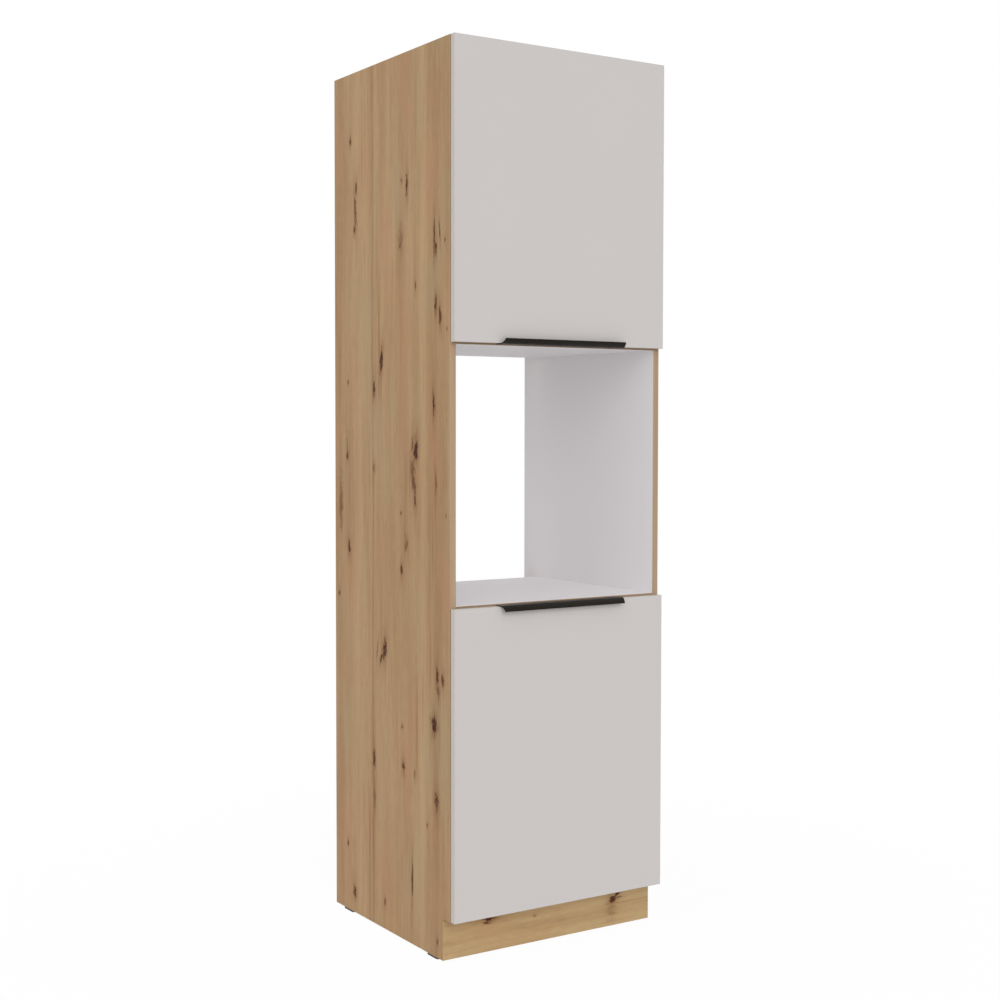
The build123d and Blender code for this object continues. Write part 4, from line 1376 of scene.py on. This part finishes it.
@dataclass
class Screws:
    """Places of the visible screws, worked out from the boxes of the nodes they stand for.

    Attributes:
        head: Radius of a head, in metres.
        height: Height of a head, in metres.
        cup_spread: Between the two screws of a hinge cup, in metres.
        sunk: How far a handle screw's dome rises above the plate, in metres.
    """

    head: float = 0.003
    height: float = 0.0015
    cup_spread: float = 0.048
    sunk: float = 0.0004

    def build(self) -> list[str]:
        """Makes the heads of the back, cup and handle screws.

        Returns:
            The names of the pieces and dressed nodes.
        """
        sets = [self._back()]
        for level in Level:
            sets += [self._cup(level), self._handle(level)]
        names = [heads.build().name for heads in sets]
        return names + dress_nodes(ZINC, "block_zinc", ["plinth_screws"])

    def _ends(self, low: float, high: float) -> list[float]:
        """The middles of the first and last head between two ends."""
        return [low + self.head, high - self.head]

    @staticmethod
    def _grid(xs: Sequence[float], y: float, zs: Sequence[float]) -> np.ndarray:
        """Seats at every X and Z given, all at one Y."""
        x, z = np.meshgrid(xs, zs)
        return np.stack([x.ravel(), np.full(x.size, y), z.ravel()], axis=1)

    def _back(self) -> ScrewHeads:
        """The screws that hold the two backs to the panels.

        Returns:
            Their heads, three in each of four rows.
        """
        node = "back_panel_screws"
        low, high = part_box(node)
        rows = [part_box(name) for name in ("niche_floor_panel", "niche_ceiling_panel")]
        zs = self._ends(low.z, high.z) + [(foot.z + head.z) / 2 for foot, head in rows]
        xs = [*self._ends(low.x, high.x), (low.x + high.x) / 2]
        seats = self._grid(sorted(xs), high.y - self.height, sorted(zs))
        return ScrewHeads(
            "back_screw_heads", node, "carcass", "screw_steel", ZINC, seats, (0, 1, 0)
        )

    def _cup(self, level: Level) -> ScrewHeads:
        """The screws of a door's hinge cups.

        Args:
            level: Which door it is.

        Returns:
            Their heads, two on each cup.
        """
        node = level.node("cup_screws")
        low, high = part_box(node)
        first, last = self._ends(low.z, high.z)
        zs = [first, first + self.cup_spread, last - self.cup_spread, last]
        seats = self._grid([(low.x + high.x) / 2], high.y - self.height, zs)
        name, door = level.node("cup_screw_heads"), level.node("door")
        return ScrewHeads(name, node, door, "screw_steel", ZINC, seats, (0, 1, 0))

    def _handle(self, level: Level) -> ScrewHeads:
        """The black screws of a handle.

        Args:
            level: Which door it is on.

        Returns:
            Their three heads.
        """
        node = level.node("handle_screws")
        low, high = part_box(node)
        up = level.value[1]
        first, last = self._ends(low.x, high.x)
        xs = [first, (low.x + high.x) / 2, last]
        seats = self._grid(xs, (low.y + high.y) / 2, [high.z if up > 0 else low.z])
        name, door = level.node("handle_screw_heads"), level.node("door")
        return ScrewHeads(
            name, node, door, "black_metal", BLACK_COAT, seats, (0, 0, up), height=self.sunk
        )


@dataclass(frozen=True)
class Sun:
    """A sun wide enough for soft shadows.

    Attributes:
        name: The lamp's name.
        heading: The way its light goes.
        power: Its strength.
        spread: Its width in degrees.
    """

    name: str
    heading: Triple
    power: float
    spread: float

    def build(self) -> bpy.types.Object:
        """Makes the lamp.

        Returns:
            The lamp.
        """
        data = bpy.data.lights.new(self.name, "SUN")
        data.energy = self.power
        data.angle = math.radians(self.spread)
        sun = bpy.data.objects.new(self.name, data)
        sun.matrix_world = Vector(self.heading).to_track_quat("-Z", "Y").to_matrix().to_4x4()
        bpy.context.scene.collection.objects.link(sun)
        return sun


@dataclass
class Studio:
    """A white floor and sky, and two wide soft suns from the front and from the left.

    Attributes:
        fill: Strength of the sky's light.
        ground: How much light the floor gives back.
        near: How much of the floor's own white the camera sees close to the cabinet.
        reach: Where the floor fades to white, in metres from the origin.
        half: Half the floor's width, in metres.
        suns: The two suns.
    """

    fill: float = 0.47
    ground: float = 0.92
    near: float = 0.97
    reach: Span = (0.6, 2.4)
    half: float = 30.0
    suns: tuple[Sun, ...] = (
        Sun("front_sun", (0.25, 1.0, -0.5), 0.89, 35.0),
        Sun("left_sun", (1.0, 0.7, -0.4), 1.33, 120.0),
    )

    def build(self) -> list[str]:
        """Makes the floor, the sky and the suns.

        Returns:
            Their names.
        """
        return [self._floor().name, self._sky().name, *[sun.build().name for sun in self.suns]]

    @staticmethod
    def _seen(tree: Tree) -> Wire:
        """1 for what the camera, a mirror or a glass sees, and 0 for light that falls on things."""
        rays = ("Is Camera Ray", "Is Glossy Ray", "Is Transmission Ray")
        return reduce(or_, [tree.node("ShaderNodeLightPath", out=ray) for ray in rays])

    def _floor(self) -> bpy.types.Object:
        """Makes a level square whose own white takes over away from the cabinet.

        Returns:
            The floor.
        """
        ways = ((-1, -1), (1, -1), (1, 1), (-1, 1))
        mesh = bpy.data.meshes.new("floor")
        mesh.from_pydata([(x * self.half, y * self.half, 0.0) for x, y in ways], [], [range(4)])
        material = bpy.data.materials.new("floor")
        tree = Tree(material)
        away = tree.vector_math("LENGTH", tree.vector(*tree.axes), out="Value")
        own = self.near + tree.step(away, *self.reach) * (1.0 - self.near)
        matt = tree.node("ShaderNodeBsdfDiffuse", sockets={"Color": (self.ground,) * 3})
        white = tree.node("ShaderNodeEmission", sockets={"Color": PURE_WHITE, "Strength": 1.0})
        shares = {0: self._seen(tree) * own, 1: matt, 2: white}
        surface = tree.node("ShaderNodeMixShader", sockets=shares)
        tree.node("ShaderNodeOutputMaterial", sockets={"Surface": surface})
        mesh.materials.append(material)
        floor = bpy.data.objects.new("floor", mesh)
        bpy.context.scene.collection.objects.link(floor)
        return floor

    def _sky(self) -> bpy.types.World:
        """Makes a sky that is white to the eye and lights the cabinet from all round.

        Returns:
            The world.
        """
        world = bpy.data.worlds.new("sky")
        bpy.context.scene.world = world
        tree = Tree(world)
        strength = self.fill + self._seen(tree) * (1.0 - self.fill)
        sockets = {"Color": PURE_WHITE, "Strength": strength}
        light = tree.node("ShaderNodeBackground", sockets=sockets)
        tree.node("ShaderNodeOutputWorld", sockets={"Surface": light})
        return world


@dataclass
class Viewpoint:
    """The camera at the photograph's place.

    Attributes:
        place: In metres.
        yaw: To the right of straight ahead, in degrees.
        pitch: Downwards, in degrees.
        roll: In degrees.
        lens: Focal length in millimetres.
        sensor: Width of the sensor in millimetres.
        shift: Of the picture across and up, in sensor widths.
    """

    place: Triple = (-2.1398, -3.2942, 1.2339)
    yaw: float = 32.329
    pitch: float = 2.226
    roll: float = 0.036
    lens: float = 56.49
    sensor: float = 36.0
    shift: Span = (0.02105, -0.01175)

    def build(self) -> bpy.types.Object:
        """Makes the camera.

        Returns:
            The camera.
        """
        yaw, pitch, roll = (math.radians(angle) for angle in (self.yaw, self.pitch, self.roll))
        ahead = Vector(
            (math.sin(yaw) * math.cos(pitch), math.cos(yaw) * math.cos(pitch), -math.sin(pitch))
        )
        level = Vector((math.cos(yaw), -math.sin(yaw), 0.0))
        upright = level.cross(ahead)
        right = level * math.cos(roll) + upright * math.sin(roll)
        up = upright * math.cos(roll) - level * math.sin(roll)
        data = bpy.data.cameras.new("camera")
        data.sensor_width = self.sensor
        data.lens = self.lens
        data.shift_x, data.shift_y = self.shift
        camera = bpy.data.objects.new("camera", data)
        turn = Matrix((right, up, -ahead)).transposed().to_4x4()
        camera.matrix_world = Matrix.Translation(self.place) @ turn
        bpy.context.scene.collection.objects.link(camera)
        bpy.context.scene.camera = camera
        return camera


def main() -> None:
    """Dresses the cabinet, adds its finer pieces, and sets up the studio and the camera."""
    logging.basicConfig(level=logging.INFO, format="%(message)s")
    bpy.context.scene.view_settings.view_transform = "Standard"
    done = [*Carcass().dress(), *Plinth().dress()]
    for level in Level:
        done += DoorSet(level).dress()
        done.append(EdgeHandle(level).build().name)
    done += Screws().build()
    done += Studio().build()
    done.append(Viewpoint().build().name)
    for name in done:
        LOG.info("made %s", name)


if __name__ == "__main__":
    main()
